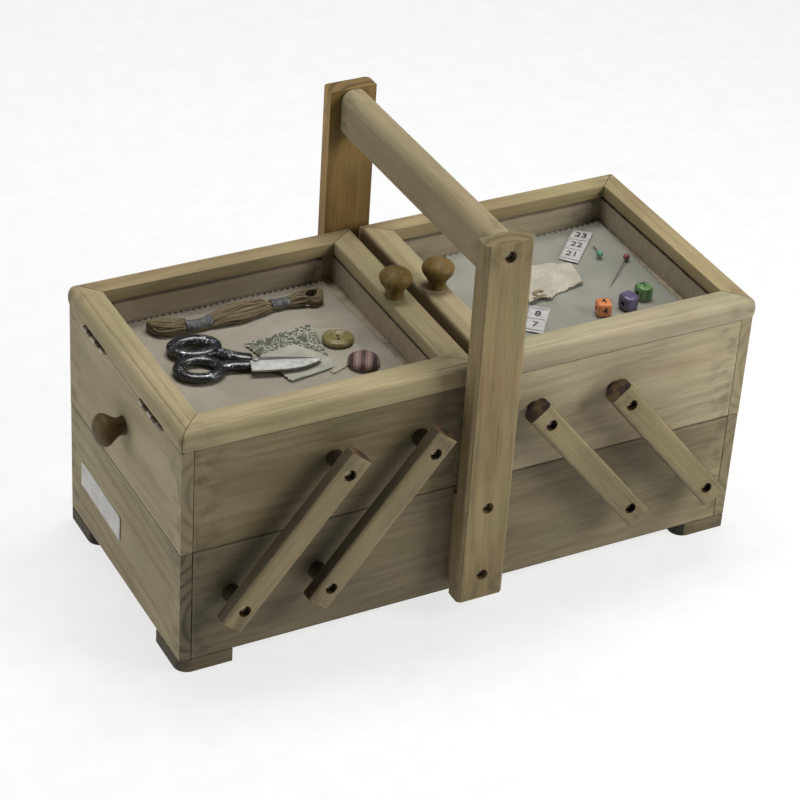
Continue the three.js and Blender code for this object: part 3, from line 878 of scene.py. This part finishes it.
def make_knobs():
    profile = [(0, 0.1), (4.6, 0.1), (4.75, 0.5), (4.45, 1.1), (4.3, 1.9), (4.4, 2.9), (4.8, 4.0),
               (5.4, 5.1), (6.25, 6.3), (7.1, 7.5), (7.75, 8.8), (8.0, 9.9)]
    profile += [(8.0 * cos(turn), 10.2 + 4.8 * sin(turn)) for turn in quarter_turn(9, 1)]
    profile[-1] = (0, profile[-1][1])
    seats = {}
    for side, sign in SIDES.items():
        middle = sum(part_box(f"{side}_lid_knob"), Vector()) / 2
        seats[f"{side}_lid_knob"] = translation(middle.x, 0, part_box(f"{side}_lid_frame")[1].z)
        middle = sum(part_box(f"{side}_tray_knob"), Vector()) / 2
        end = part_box(f"{side}_tray_outer_end")[sign > 0].x
        seats[f"{side}_tray_knob"] = translation(end, 0, middle.z) @ rotation(sign * pi / 2, "Y")
    for i, (node, seat) in enumerate(seats.items()):
        # The tray-end knobs get a shaded copy of the wood and the lid knobs a lit copy: painted shade and
        # painted light.
        material = turned_wood("wood_" + node, i + 1, 0.72 if "tray" in node else 1.15)
        knob = outward(make(node + "_turned", lathe(profile, 48), [material], 50))
        knob.matrix_world = seat @ rotation(0.9 * i, "Z")
        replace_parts(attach(knob, node.replace("_knob", "")), node)


def make_glass():
    pane = clear_glass()
    for side in SIDES:
        finish_node(f"{side}_lid_glass", pane, 0)


# ---------------- display linings and cloth

def display_room(side):
    """The inside of a display box: its lowest and highest corner, in metres."""
    low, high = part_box(f"{side}_lid_display_box")
    walls = DISPLAY_WALLS * MM
    return low + walls, Vector((high.x - walls.x, high.y - walls.y, high.z))


def make_liners():
    seeds = count(141)
    for side in SIDES:
        low, high = display_room(side)
        for row, sign in ROWS.items():
            wall = high.y if sign > 0 else low.y
            ys = sorted((wall - sign * 0.1 * MM, wall - sign * LINER_THICKNESS * MM))
            bottom = Vector((low.x + LINER_END_GAP * MM, ys[0], low.z + 0.05 * MM))
            top = Vector((high.x - LINER_END_GAP * MM, ys[1], high.z - 0.2 * MM))
            name = f"wood_{side}_liner_{row}"
            material = wood(name, "liner", GRAIN_TURN["X"], bottom, top, next(seeds), 0.3)
            strip = make(f"{side}_display_liner_{row}", block(bottom, top), [material], 30, unit=1.0)
            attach(bevel(strip, 0.3), f"{side}_lid")


def sheet_point(corners, u, v):
    """A point between four corners (front left, front right, back right, back left)."""
    a, b, c, d = (Vector(corner) for corner in corners)
    return a.lerp(b, u).lerp(d.lerp(c, u), v)


def patch(corners, columns, rows, lift, edge=None):
    """A sheet between four corners. lift(u, v, point) gives its height and edge(i, j) how far its
    outline is pushed in."""
    grid = []
    for j in range(rows + 1):
        row = []
        for i in range(columns + 1):
            u, v = i / columns, j / rows
            if edge and (i in (0, columns) or j in (0, rows)):
                push = edge(i, j)
                u += push[0] * ((i == 0) - (i == columns))
                v += push[1] * ((j == 0) - (j == rows))
            point = sheet_point(corners, u, v)
            row.append((point.x, point.y, lift(u, v, point)))
        grid.append(row)
    return skin(grid)


def lay_cloth(name, side, part, corners, material, thickness):
    """A sheet, made solid with a thickness and hung on a lid."""
    cloth = thicken(make(name, part, [material], 60), thickness)
    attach(cloth, f"{side}_lid")
    a, b, c, d = (Vector(corner) for corner in corners)


def make_display_cloths():
    """The cloths that line the boxes, with a pinked edge all round."""
    cloths = (
        ("left", [(-136.5, -57.0), (-17.0, -57.0), (-21.0, 55.0), (-136.8, 55.1)],
         (0.402, 0.372, 0.306), (0.345, 0.317, 0.260)),
        ("right", [(17.0, -57.2), (134.6, -57.0), (137.6, 54.9), (17.4, 53.0)],
         (0.306, 0.309, 0.273), (0.265, 0.268, 0.233)),
    )
    for seed, (side, corners, light, shade) in enumerate(cloths, 1):
        a, b, _, d = (Vector(corner) for corner in corners)
        width, length = (b - a).length, (d - a).length
        ground = display_room(side)[0].z / MM + CLOTH_GAP

        def lift(u, v, point):
            wave = noise.noise(Vector((point.x, point.y, 0)) * 0.045 + Vector((seed * 3.7, seed * 9.1, 0)))
            rise = 0.35 * (1 + wave) + 0.5 * max(0.0, 1 - min(u, 1 - u, v, 1 - v) / 0.06) * (0.5 + wave)
            return ground + max(0.0, rise + 1.5 * max(0.0, 1 - (1 - v) / 0.03))

        def pinked(i, j):
            return PINK_DEPTH / width * (j % 2), PINK_DEPTH / length * (i % 2)

        columns, rows = (2 * round(size / PINK_PITCH / 2) for size in (width, length))
        part = patch(corners, columns, rows, lift, pinked)
        linen = cotton(f"{side}_display_cotton", light, shade)
        lay_cloth(f"{side}_display_cloth", side, part, corners, linen,
                  CLOTH_THICKNESS)


# ---------------- sewing things under the glass

def cloth_top(side):
    """The height, in millimetres, at which things lie on a display cloth."""
    return display_room(side)[0].z / MM + CLOTH_TOP


def thing(name, side, part, material, smooth=40):
    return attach(outward(make(name, part, [material], smooth)), f"{side}_lid")


def thread_material():
    shader = Shader("skein_thread")
    tint = shader.noise((0.10, 1.3, 1.3))
    fuzz = shader.noise((2.2, 7.0, 7.0), detail=2.0)
    colour = shader.tones(tint, 0.32, 0.68, (0.130, 0.098, 0.048), (0.210, 0.165, 0.090))
    colour = shader.shade(colour, shader.ramp(fuzz, 0.2, 0.8, 0.80, 1.12))
    return shader.finish(colour, shader.ramp(fuzz, 0.2, 0.8, 0.5, 0.7), shader.bump(fuzz, 0.10, 0.7),
                         Sheen_Weight=0.3, Sheen_Roughness=0.4, Specular_IOR_Level=0.3)


def band_paper():
    """Smudged paper, wound in fine turns."""
    shader = Shader("skein_band_paper")
    smudge = shader.noise((0.45, 0.30, 0.30), detail=4.0, roughness=0.6)
    turns = shader.wave(shader.split(shader.board)[0], 1.1)
    colour = shader.tones(smudge, 0.36, 0.66, (0.070, 0.072, 0.080), (0.185, 0.186, 0.192))
    colour = shader.shade(colour, shader.ramp(turns, -1.0, 0.6, 0.80, 1.0))
    return shader.finish(colour, shader.ramp(smudge, 0.3, 0.7, 0.42, 0.60), shader.bump(turns, 0.14, 0.8))


STRANDS = 54
STRAND_STEPS = 76
SKEIN_HEIGHT = 6.2
SKEIN_CORE = (0.13, 0.72)  # where the core starts and how much of the skein it fills
SKEIN_BANDS = ((0.185, 0.325), (0.675, 0.79))
SKEIN_LINE = ((-119.5, 44.8), (-107.0, 41.2), (-96.5, 39.2), (-84.0, 40.3), (-71.8, 42.1), (-60.0, 42.4),
              (-50.0, 41.8), (-40.0, 41.2), (-29.5, 41.2))
# how wide the skein is at points along it, from its left end to its right end
SKEIN_WIDTH = ((0.0, 4.6), (0.08, 7.0), (0.15, 5.4), (0.21, 3.0), (0.30, 3.0), (0.37, 5.2), (0.46, 7.0),
               (0.60, 5.8), (0.68, 2.9), (0.78, 2.9), (0.84, 4.8), (0.91, 6.8), (1.0, 4.6))


def clamped(value, low=0.0, high=1.0):
    return min(high, max(low, value))


def skein_size(share):
    """Half the skein's width and its whole height at a share of its length."""
    for (s0, v0), (s1, v1) in zip(SKEIN_WIDTH, SKEIN_WIDTH[1:]):
        if share <= s1:
            t = clamped((share - s0) / (s1 - s0))
            half = v0 + (v1 - v0) * t * t * (3 - 2 * t)
            return half, min(half * 1.25, SKEIN_HEIGHT)


def skein_point(share):
    """A point of the skein's middle line, and the direction across it."""
    last = len(SKEIN_LINE) - 1
    place = clamped(share, 0.0, 0.9999) * last
    i = int(place)
    t = place - i
    p = [Vector(SKEIN_LINE[clamped(i + k, 0, last)]) for k in (-1, 0, 1, 2)]
    point = 0.5 * (2 * p[1] + (p[2] - p[0]) * t + (2 * p[0] - 5 * p[1] + 4 * p[2] - p[3]) * t * t
                   + (3 * p[1] - p[0] - 3 * p[2] + p[3]) * t ** 3)
    ahead = ((p[2] - p[0]) * (1 - t) + (p[3] - p[1]) * t).normalized()
    return point, Vector((-ahead.y, ahead.x))


def skein_strand(ground, level, high, phase):
    """One loop of thread. level says how far out it runs, high how high and phase how it waves."""
    points = []
    for i in range(STRAND_STEPS):
        turn = 2 * pi * i / STRAND_STEPS
        share = 0.5 - 0.5 * cos(turn) * (1 - (1 - level) * 0.06)
        middle, across = skein_point(share)
        half, tall = skein_size(share)
        looped = clamped((abs(share - 0.5) - 0.30) / 0.12) * (0.55 if share < 0.5 else 1.0)
        spread = (1 - looped) * (2 * level - 1)
        spread += looped * clamped(3.4 * sin(turn), -1.0) * (0.50 + 0.50 * level)
        twist = 0.35 * sin(share * 19.0 + phase)
        out = half * spread * (0.86 + 0.14 * cos(twist * 3)) + 0.35 * sin(share * 31.0 + phase)
        z = ground + 0.55 + (tall - 1.1) * high * (1 - 0.72 * (out / (half + 0.6)) ** 2)
        z += 0.3 * sin(share * 23.0 + phase * 2)
        point = middle + across * out
        points.append((point.x, point.y, max(z, ground + 0.4)))
    return sweep(points, (0.46, 0.46), 5, closed=True)


def skein_core(ground):
    """A plain core that fills the skein under its strands."""
    points = []
    for i in range(41):
        share = SKEIN_CORE[0] + SKEIN_CORE[1] * i / 40
        middle = skein_point(share)[0]
        points.append((middle.x, middle.y, ground + 0.35 + 0.38 * skein_size(share)[1]))

    def size(t):
        half, tall = skein_size(SKEIN_CORE[0] + SKEIN_CORE[1] * t)
        close = min(1.0, 8 * t, 8 * (1 - t)) * 0.9 + 0.1
        return 0.86 * half * close, 0.36 * tall * close

    return sweep(points, size, 16)


def skein_band(ground, start, end):
    """A tube of paper round the skein."""
    steps, sides = 10, 22
    rings = []
    for i in range(steps + 1):
        share = start + (end - start) * i / steps
        middle, across = skein_point(share)
        half = skein_size(share)[0] * 1.02 + 0.15
        tall = min(half * 1.25, SKEIN_HEIGHT) * 0.52
        ring = []
        for k in range(sides):
            turn = 2 * pi * k / sides
            point = middle + across * half * cos(turn)
            lift = tall * sin(turn) * (1 + 0.05 * sin(9 * share * pi + k))
            ring.append((point.x, point.y, max(ground + 0.02, ground + tall + lift)))
        rings.append(ring)
    return skin(rings, closed=True)


def make_skein():
    """A skein of thread: looped strands round a core, held by two paper bands."""
    ground = cloth_top("left")
    dice = random.Random(77)
    strands = [skein_strand(ground, (k * 0.618) % 1.0, dice.uniform(0.15, 1.0), dice.uniform(0, 2 * pi))
               for k in range(STRANDS)]
    thing("skein_strands", "left", together(*strands, skein_core(ground)), thread_material(), 180)
    bands = together(*(skein_band(ground, *ends) for ends in SKEIN_BANDS))
    thicken(thing("skein_bands", "left", bands, band_paper(), 60), 0.25)


def oval(centre, semi, lean_degrees, z):
    """Points round an ellipse, its long axis turned by an angle."""
    lean = radians(lean_degrees)
    points = []
    for i in range(36):
        x, y = semi[0] * cos(radians(10 * i)), semi[1] * sin(radians(10 * i))
        points.append((centre[0] + x * cos(lean) - y * sin(lean),
                       centre[1] + x * sin(lean) + y * cos(lean), z))
    return points


def grip_material():
    """Dark moulded plastic with flakes of glitter in it."""
    shader = Shader("scissors_grip")
    cells = shader.node("TexVoronoi", {"Vector": shader.board, "Scale": 1.35}, "Color")
    flake = shader.split(cells)[0]
    glint = shader.ramp(flake, 0.70, 0.80) * shader.ramp(shader.noise(0.16, detail=2.0), 0.52, 0.64)
    colour = shader.mix(glint, (0.012, 0.013, 0.018), (0.42, 0.45, 0.52))
    return shader.finish(colour, shader.ramp(flake, 0.0, 1.0, 0.24, 0.40), shader.bump(flake, 0.10, 0.6),
                         Metallic=glint * 0.7, Coat_Weight=0.5, Coat_Roughness=0.12)


def scissors_blade(low, high, inner, outer):
    """A blade from the rivet to its point, with a ridge along it."""
    steps = 12
    start, lean, length = Vector((-87.0, -1.0)), radians(-17.5), 34.0
    outline = ((inner, 0), (outer, 0), (outer, 0.45), (inner * 0.25 + outer * 0.3, 1), (inner, 0.55))
    rows = []
    for i in range(steps + 1):
        t = i / steps
        taper = (1 - t ** 4) * 0.93 + 0.07
        thick = (high - low) * (0.35 + 0.65 * taper)
        row = []
        for side, rise in outline:
            across = side * taper
            row.append((start.x + length * t * cos(lean) - across * sin(lean),
                        start.y + length * t * sin(lean) + across * cos(lean), low + thick * rise))
        rows.append(row)
    return skin(rows, closed=True, capped=True)


def make_scissors():
    ground = cloth_top("left")
    z = ground + 2.4
    arm_one = [(-99.0, 14.5, z + 0.4), (-95.5, 10.0, z + 0.6), (-92.0, 5.2, z + 0.8), (-87.5, 1.8, z + 0.8),
               (-84.2, 0.6, z + 0.7)]
    arm_two = [(-103.0, -0.5, z - 0.2), (-99.0, 0.6, z), (-95.0, 0.2, z), (-90.0, -1.6, z), (-86.0, -2.6, z)]
    grips = together(
        sweep(oval((-105.9, 20.4), (10.2, 6.6), -14, z + 0.5), (3.3, 2.2), 12, closed=True),
        sweep(oval((-110.6, 3.1), (9.8, 7.8), -20, z - 0.2), (3.1, 2.2), 12, closed=True),
        sweep(arm_one, lambda t: (3.0 + 0.9 * t, 2.2), 12),
        sweep(arm_two, lambda t: (3.1 + 0.7 * t, 2.0), 12))
    smooth = thing("scissors_grips", "left", grips, grip_material(), 60).modifiers.new("Smooth", "SUBSURF")
    smooth.levels = smooth.render_levels = 1

    steel = metal("scissors_steel", (0.41, 0.415, 0.41), (0.23, 0.23, 0.23), 0.36, 0.7, 0.25)
    rivet = moved(lathe([(0, 0), (1.9, 0), (1.9, 0.5), (1.5, 0.9), (0, 1.0)], 20),
                  translation(-84.5, -2.4, ground + 4.2))
    blades = together(scissors_blade(ground + 0.9, ground + 2.4, -1.0, 5.6),
                      scissors_blade(ground + 2.5, ground + 4.4, -8.6, 2.4), rivet)
    bevel(thing("scissors_blades", "left", blades, steel, 25), 0.15, 2, 20)


def print_material():
    """Cotton with a scroll print over part of it, the rest plain."""
    shader = Shader("print_cotton")
    board = shader.board
    x, y, _ = shader.split(board)
    swirl = shader.node("TexNoise", {"Vector": board, "Scale": 0.34, "Detail": 2.0}, "Color")
    bent = shader.node("VectorMath", {0: board, 1: shader.shade(swirl, 5.0)}, operation="ADD")
    cells = shader.node("TexVoronoi", {"Vector": bent, "Scale": 0.27}, "Distance")
    scroll = shader.math("SINE", cells * 15.0)
    colour = shader.tones(scroll, 0.10, 0.40, (0.110, 0.115, 0.086), (0.400, 0.410, 0.350))
    colour = shader.mix(shader.ramp(abs(scroll - 0.02), 0.30, 0.08), colour, (0.020, 0.022, 0.018))
    # the print lies beyond two straight lines
    printed = shader.ramp(shader.math("MAXIMUM", y - x * 0.153 - 17.4, x * 1.62 + y + 88.0), -0.5, 0.5)
    stain = shader.noise(0.12, detail=2.0)
    plain = shader.tones(stain, 0.35, 0.65, (0.360, 0.365, 0.315), (0.430, 0.435, 0.380))
    weave = shader.math("SINE", x * 14.0) * shader.math("SINE", y * 14.0)
    return shader.finish(shader.mix(printed, plain, colour), shader.ramp(stain, 0.3, 0.7, 0.78, 0.9),
                         shader.bump(weave, 0.04, 0.8), Specular_IOR_Level=0.2)


def make_scraps():
    """The printed scrap and the cream scrap that the scissors and the button lie on."""
    ground = cloth_top("left")

    def pinked(i, j):
        return 0.030 * (j % 2), 0.030 * (i % 2)

    def scrap(name, corners, columns, rows, seed, rise, material):
        def ripple(u, v, point):
            return ground + rise + 0.25 * noise.noise(Vector((u * 2.2, v * 2.2, seed)))

        part = patch(corners, columns, rows, ripple, pinked)
        lay_cloth(name, "left", part, corners, material, SCRAP_THICKNESS)

    scrap("print_scrap", [(-74.6, -20.8), (-50.2, -17.4), (-44.0, 21.8), (-82.0, 17.6)], 26, 28, 3.1, 0.42,
          print_material())
    scrap("cream_scrap", [(-54.0, -22.0), (-31.0, -14.0), (-31.5, 13.0), (-47.0, 20.0)], 18, 26, 7.7, -0.05,
          cotton("cream_cotton", (0.455, 0.440, 0.360), (0.385, 0.368, 0.292)))


def plastic(name, light, dark, roughness, spots=0.35):
    shader = Shader(name)
    scuff = shader.noise(3.0, detail=2.0)
    colour = shader.tones(shader.noise(spots), 0.35, 0.65, dark, light)
    return shader.finish(colour, scuff * 0.2 + roughness, shader.bump(scuff, 0.04, 0.4),
                         Coat_Weight=0.2, Coat_Roughness=0.2)


def striped_cloth():
    shader = Shader("striped_button_cloth", (0, 0, radians(29)))
    x = shader.split(shader.board)[0]
    colour = shader.tones(shader.wave(x, 5.6, 1.9), 0.30, 0.45, (0.216, 0.119, 0.115), (0.043, 0.010, 0.016))
    colour = shader.tones(shader.wave(x, 5.6, 5.0), 0.72, 0.86, colour, (0.30, 0.216, 0.194))
    thread = shader.noise((1.2, 9.0, 9.0), detail=2.0)
    return shader.finish(shader.shade(colour, shader.ramp(thread, 0.3, 0.7, 0.82, 1.1)),
                         shader.ramp(thread, 0.3, 0.7, 0.5, 0.7), shader.bump(thread, 0.06, 0.7),
                         Sheen_Weight=0.25)


def make_buttons():
    ground = cloth_top("left")
    olive = plastic("olive_button", (0.238, 0.205, 0.079), (0.155, 0.130, 0.045), 0.35, 0.5)
    profile = [(0, 0), (6.4, 0), (7.4, 0.5), (7.7, 1.2), (7.55, 2.0), (6.9, 2.6), (6.5, 2.45), (6.1, 2.62),
               (5.6, 2.45), (5.1, 2.62), (4.6, 2.4), (4.1, 2.55), (3.6, 2.2), (2.8, 2.0), (0, 2.0)]
    button = outward(make("olive_button", lathe(profile, 48), [olive], 40))
    hole = lathe([(0, -1), (0.75, -1), (0.75, 4), (0, 4)], 16)
    cut_away(button, *(outward(make("hole", moved(hole, translation(x, 0, 0)))) for x in (-1.3, 1.3)))
    place = Matrix.Translation(Vector((-38.9, 3.2, ground + 0.35)) * MM) @ rotation(radians(75), "Z")
    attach(smoothed(transformed(button, place), 40), "left_lid")

    dome = [(0, 0), (6.6, 0), (7.5, 0.7), (7.8, 1.6)]
    dome += [(7.8 * cos(turn), 1.6 + 3.6 * sin(turn)) for turn in quarter_turn(8, 1)[:-1]]
    part = moved(lathe(dome + [(0, 5.2)], 48), translation(-36.3, -19.0, ground + 0.1))
    thing("striped_button", "left", part, striped_cloth(), 50)


def figures(name, side, words, material):
    """Printed numbers as thin raised ink. words holds (text, height, matrix in millimetres)."""
    parts = []
    for text, size, matrix in words:
        curve = bpy.data.curves.new(name, "FONT")
        curve.body = text
        curve.size = size
        curve.align_x = curve.align_y = "CENTER"
        curve.offset = 0.07
        curve.extrude = 0.02
        temporary = bpy.data.objects.new(name, curve)
        bpy.context.scene.collection.objects.link(temporary)
        bpy.context.view_layer.update()
        graph = bpy.context.evaluated_depsgraph_get()
        mesh = bpy.data.meshes.new_from_object(temporary.evaluated_get(graph))
        part = [v.co for v in mesh.vertices], [list(f.vertices) for f in mesh.polygons]
        parts.append(moved(part, matrix))
        bpy.data.objects.remove(temporary)
        bpy.data.curves.remove(curve)
        bpy.data.meshes.remove(mesh)
    thing(name, side, together(*parts), material, 30)


def make_tapes():
    """Two cuts of a tape measure, with a line and a number every 10 mm."""
    ground = cloth_top("right")
    shader = Shader("tape_cloth")
    smudge = shader.noise(0.3)
    colour = shader.tones(smudge, 0.35, 0.65, (0.440, 0.440, 0.445), (0.500, 0.500, 0.505))
    tape = shader.finish(colour, shader.ramp(smudge, 0.3, 0.7, 0.42, 0.58),
                         shader.bump(shader.noise(3.0, detail=1.0), 0.04, 0.5))
    shader = Shader("tape_ink")
    fade = shader.noise(0.9)
    colour = shader.tones(fade, 0.40, 0.70, (0.030, 0.032, 0.040), (0.10, 0.10, 0.115))
    ink = shader.finish(colour, shader.ramp(fade, 0.3, 0.7, 0.40, 0.60))
    for name, corners, numbers in (
            ("tape_strip_long", [(98.3, 30.0), (105.0, 22.2), (128.0, 45.8), (119.8, 52.4)], (21, 22, 23)),
            ("tape_strip_short", [(47.9, -22.2), (55.6, -29.0), (70.6, -9.9), (62.4, -3.4)], (7, 8))):
        part = patch(corners, 8, 24, lambda u, v, point: ground + 0.25 + 0.18 * sin(3 * v + u))
        lay_cloth(name, "right", part, corners, tape, SCRAP_THICKNESS)
        a, b, c, d = (Vector((*corner, ground + 0.75)) for corner in corners)
        length = ((d - a).length + (c - b).length) / 2
        ahead = ((d - a) + (c - b)).normalized()
        across = Vector((ahead.y, -ahead.x, 0))
        axes = Matrix((across, ahead, (0, 0, 1))).transposed().to_4x4()
        words, lines = [], []
        for i, number in enumerate(numbers):
            share = (i * 10.0 + 7.0) / length
            words.append((str(number), 6.4, translation(*(a.lerp(d, share) + b.lerp(c, share)) / 2) @ axes))
        for i in range(int(length / 10) + 1):
            share = (i * 10.0 + 2.0) / length
            if share <= 0.98:
                left, right = a.lerp(d, share), b.lerp(c, share)
                lines.append(sweep([left.lerp(right, 0.06), left.lerp(right, 0.94)], (0.16, 0.03), 4))
        figures(name + "_numbers", "right", words, ink)
        thing(name + "_lines", "right", together(*lines), ink, 30)


def lace_material():
    shader = Shader("lace_cotton")
    knots = shader.node("TexVoronoi", {"Vector": shader.board, "Scale": 0.75}, "Distance")
    stain = shader.noise(0.10, detail=2.0)
    colour = shader.tones(stain, 0.35, 0.65, (0.430, 0.402, 0.330), (0.520, 0.492, 0.415))
    colour = shader.shade(colour, shader.ramp(knots, 0.15, 0.6, 1.03, 0.88))
    return shader.finish(colour, shader.ramp(stain, 0.3, 0.7, 0.82, 0.92), shader.bump(knots, 0.25, 0.7),
                         Sheen_Weight=0.2, Specular_IOR_Level=0.2)


def make_lace():
    """A torn scrap of lace, folded up along its front, with an embroidered curl."""
    ground = cloth_top("right")
    corners = [(62.0, -4.0), (98.5, 4.0), (103.0, 24.0), (68.0, 36.0)]
    columns, rows = 44, 30

    def rise(u, v, point=None):
        front = max(0.0, 1 - v / 0.30)
        fold = 2.3 * front * front * (0.55 + 0.45 * sin(7.0 * u + 1.0))
        return ground + 0.1 + fold + 0.9 * max(0.0, noise.noise(Vector((u * 4.0, v * 3.0, 5.5))))

    def ragged(i, j):
        tongue = 0.09 * exp(-((i / columns - 0.36) / 0.10) ** 2) if j == 0 else 0.0
        return (0.030 * (1 + noise.noise(Vector((j * 0.9, 3.3, 0)))),
                0.040 * (1 + noise.noise(Vector((i * 0.7, 8.8, 0)))) - tongue)

    part = patch(corners, columns, rows, rise, ragged)
    lay_cloth("lace_scrap", "right", part, corners, lace_material(), 0.45)

    curl = []
    for t in (i / 33 for i in range(34)):
        turn, radius = 0.6 + 4.9 * t, 3.6 - 2.1 * t
        curl.append((71.6 + radius * cos(turn), 2.1 + radius * sin(turn), rise(0.24, 0.13) + 0.75))
    stem = [(66.0 + 1.1 * i, -1.6 + 0.5 * i - 0.04 * i * i, rise(0.1 + 0.03 * i, 0.06) + 0.6)
            for i in range(8)]
    tan = cotton("lace_motif_thread", (0.288, 0.238, 0.151), (0.216, 0.173, 0.104), 0.9, 0.1)
    thing("lace_motif", "right", together(sweep(curl, (0.85, 0.5)), sweep(stem, (0.75, 0.5))), tan, 60)


def make_pins():
    """Two pins with a ball of glass for a head."""
    ground = cloth_top("right")
    steel = metal("pin_steel", (0.50, 0.49, 0.48), (0.30, 0.28, 0.26), 0.25, 0.4)
    radius, turns = PIN_HEAD_RADIUS, [pi * (i / 10 - 0.5) for i in range(1, 10)]
    ball = lathe([(0, -radius), *((radius * cos(t), radius * sin(t)) for t in turns), (0, radius)], 20)
    for name, head, tip, light, dark in (
            ("red_pin", (129.7, 16.2, ground + 2.0), (107.9, -4.0, ground + 0.35),
             (0.225, 0.056, 0.056), (0.150, 0.038, 0.041)),
            ("green_pin", (118.4, 23.6, ground + 2.2), (121.5, 35.5, ground + 0.35),
             (0.098, 0.315, 0.218), (0.053, 0.218, 0.143))):
        material = plastic(name + "_head", light, dark, 0.15)
        thing(name + "_head", "right", moved(ball, translation(*head)), material, 60)
        shaft = [Vector(head).lerp(Vector(tip), i / 8) for i in range(9)]
        thing(name, "right", sweep(shaft, lambda t: (0.30 - 0.24 * max(0, t - 0.8) / 0.2,) * 2), steel, 60)


def make_beads():
    """Cubes with rounded edges and a bore, two of them with a number."""
    ground = cloth_top("right")
    ink = plastic("bead_ink", (0.030, 0.022, 0.022), (0.016, 0.012, 0.014), 0.35)
    for name, (x, y), size, turn, text, light, dark in (
            ("orange_bead", (92.4, -23.4), 7.4, -16, "4", (0.700, 0.260, 0.100), (0.600, 0.190, 0.065)),
            ("purple_bead", (106.8, -23.2), 7.8, 12, "", (0.130, 0.104, 0.200), (0.088, 0.068, 0.150)),
            ("green_bead", (118.8, -17.8), 7.4, 2, "7", (0.125, 0.255, 0.095), (0.078, 0.180, 0.062))):
        half = size / 2
        part = block((-half, -half, 0), (half, half, size))
        cube = outward(make(name, part, [plastic(name + "_plastic", light, dark, 0.22)]))
        baked(bevel(cube, 1.5, 5, 30))
        bore = moved(lathe([(0, -9), (1.3, -9), (1.3, 9), (0, 9)], 20),
                     translation(0, 0, half) @ rotation(pi / 2, "Y"))
        cut_away(cube, outward(make("bore", bore)))
        place = translation(x, y, ground - 0.1) @ rotation(radians(turn), "Z")
        transformed(cube, Matrix.Scale(MM, 4) @ place @ Matrix.Scale(1 / MM, 4))
        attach(smoothed(cube, 40), "right_lid")
        if text:
            front = place @ translation(0, -half - 0.01, half) @ rotation(pi / 2, "X")
            top = place @ translation(0, 0, size + 0.01)
            figures(name + "_number", "right", [(text, 5.6, front), (text, 5.6, top)], ink)


def make_label():
    """A blank paper label, a little crooked, on the left end of the base."""
    shader = Shader("label_paper")
    fibre = shader.noise(2.0, detail=2.0)
    colour = shader.tones(shader.noise(0.08), 0.35, 0.65, (0.415, 0.405, 0.372), (0.498, 0.488, 0.455))
    paper = shader.finish(colour, shader.ramp(fibre, 0.3, 0.7, 0.6, 0.8), shader.bump(fibre, 0.03, 0.5))
    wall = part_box("base_left_end")[0].x / MM
    columns, length = 24, 49.0
    rows = []
    for i in range(columns + 1):
        u = (i / columns - 0.5) * length
        curl = 0.35 * max(0.0, abs(u) / (length / 2) - 0.86) / 0.14
        rows.append([(wall - 0.12 - curl, 28.1 - u * 0.9995 - v * 0.033, 36.6 - u * 0.033 + v)
                     for v in (-7.1, -6.9, 6.9, 7.1)])
    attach(thicken(make("blank_label", skin(rows), [paper], 60), 0.12, 0.0), "base")


# ---------------- build

make_camera()
make_light()
make_floor()
finish_boards()
finish_handle()
finish_arms()
make_pivots()
make_hinges()
make_lid_rails()
make_knobs()
make_glass()
make_liners()
make_display_cloths()
make_skein()
make_scissors()
make_scraps()
make_buttons()
make_tapes()
make_lace()
make_pins()
make_beads()
make_label()

bpy.context.view_layer.update()
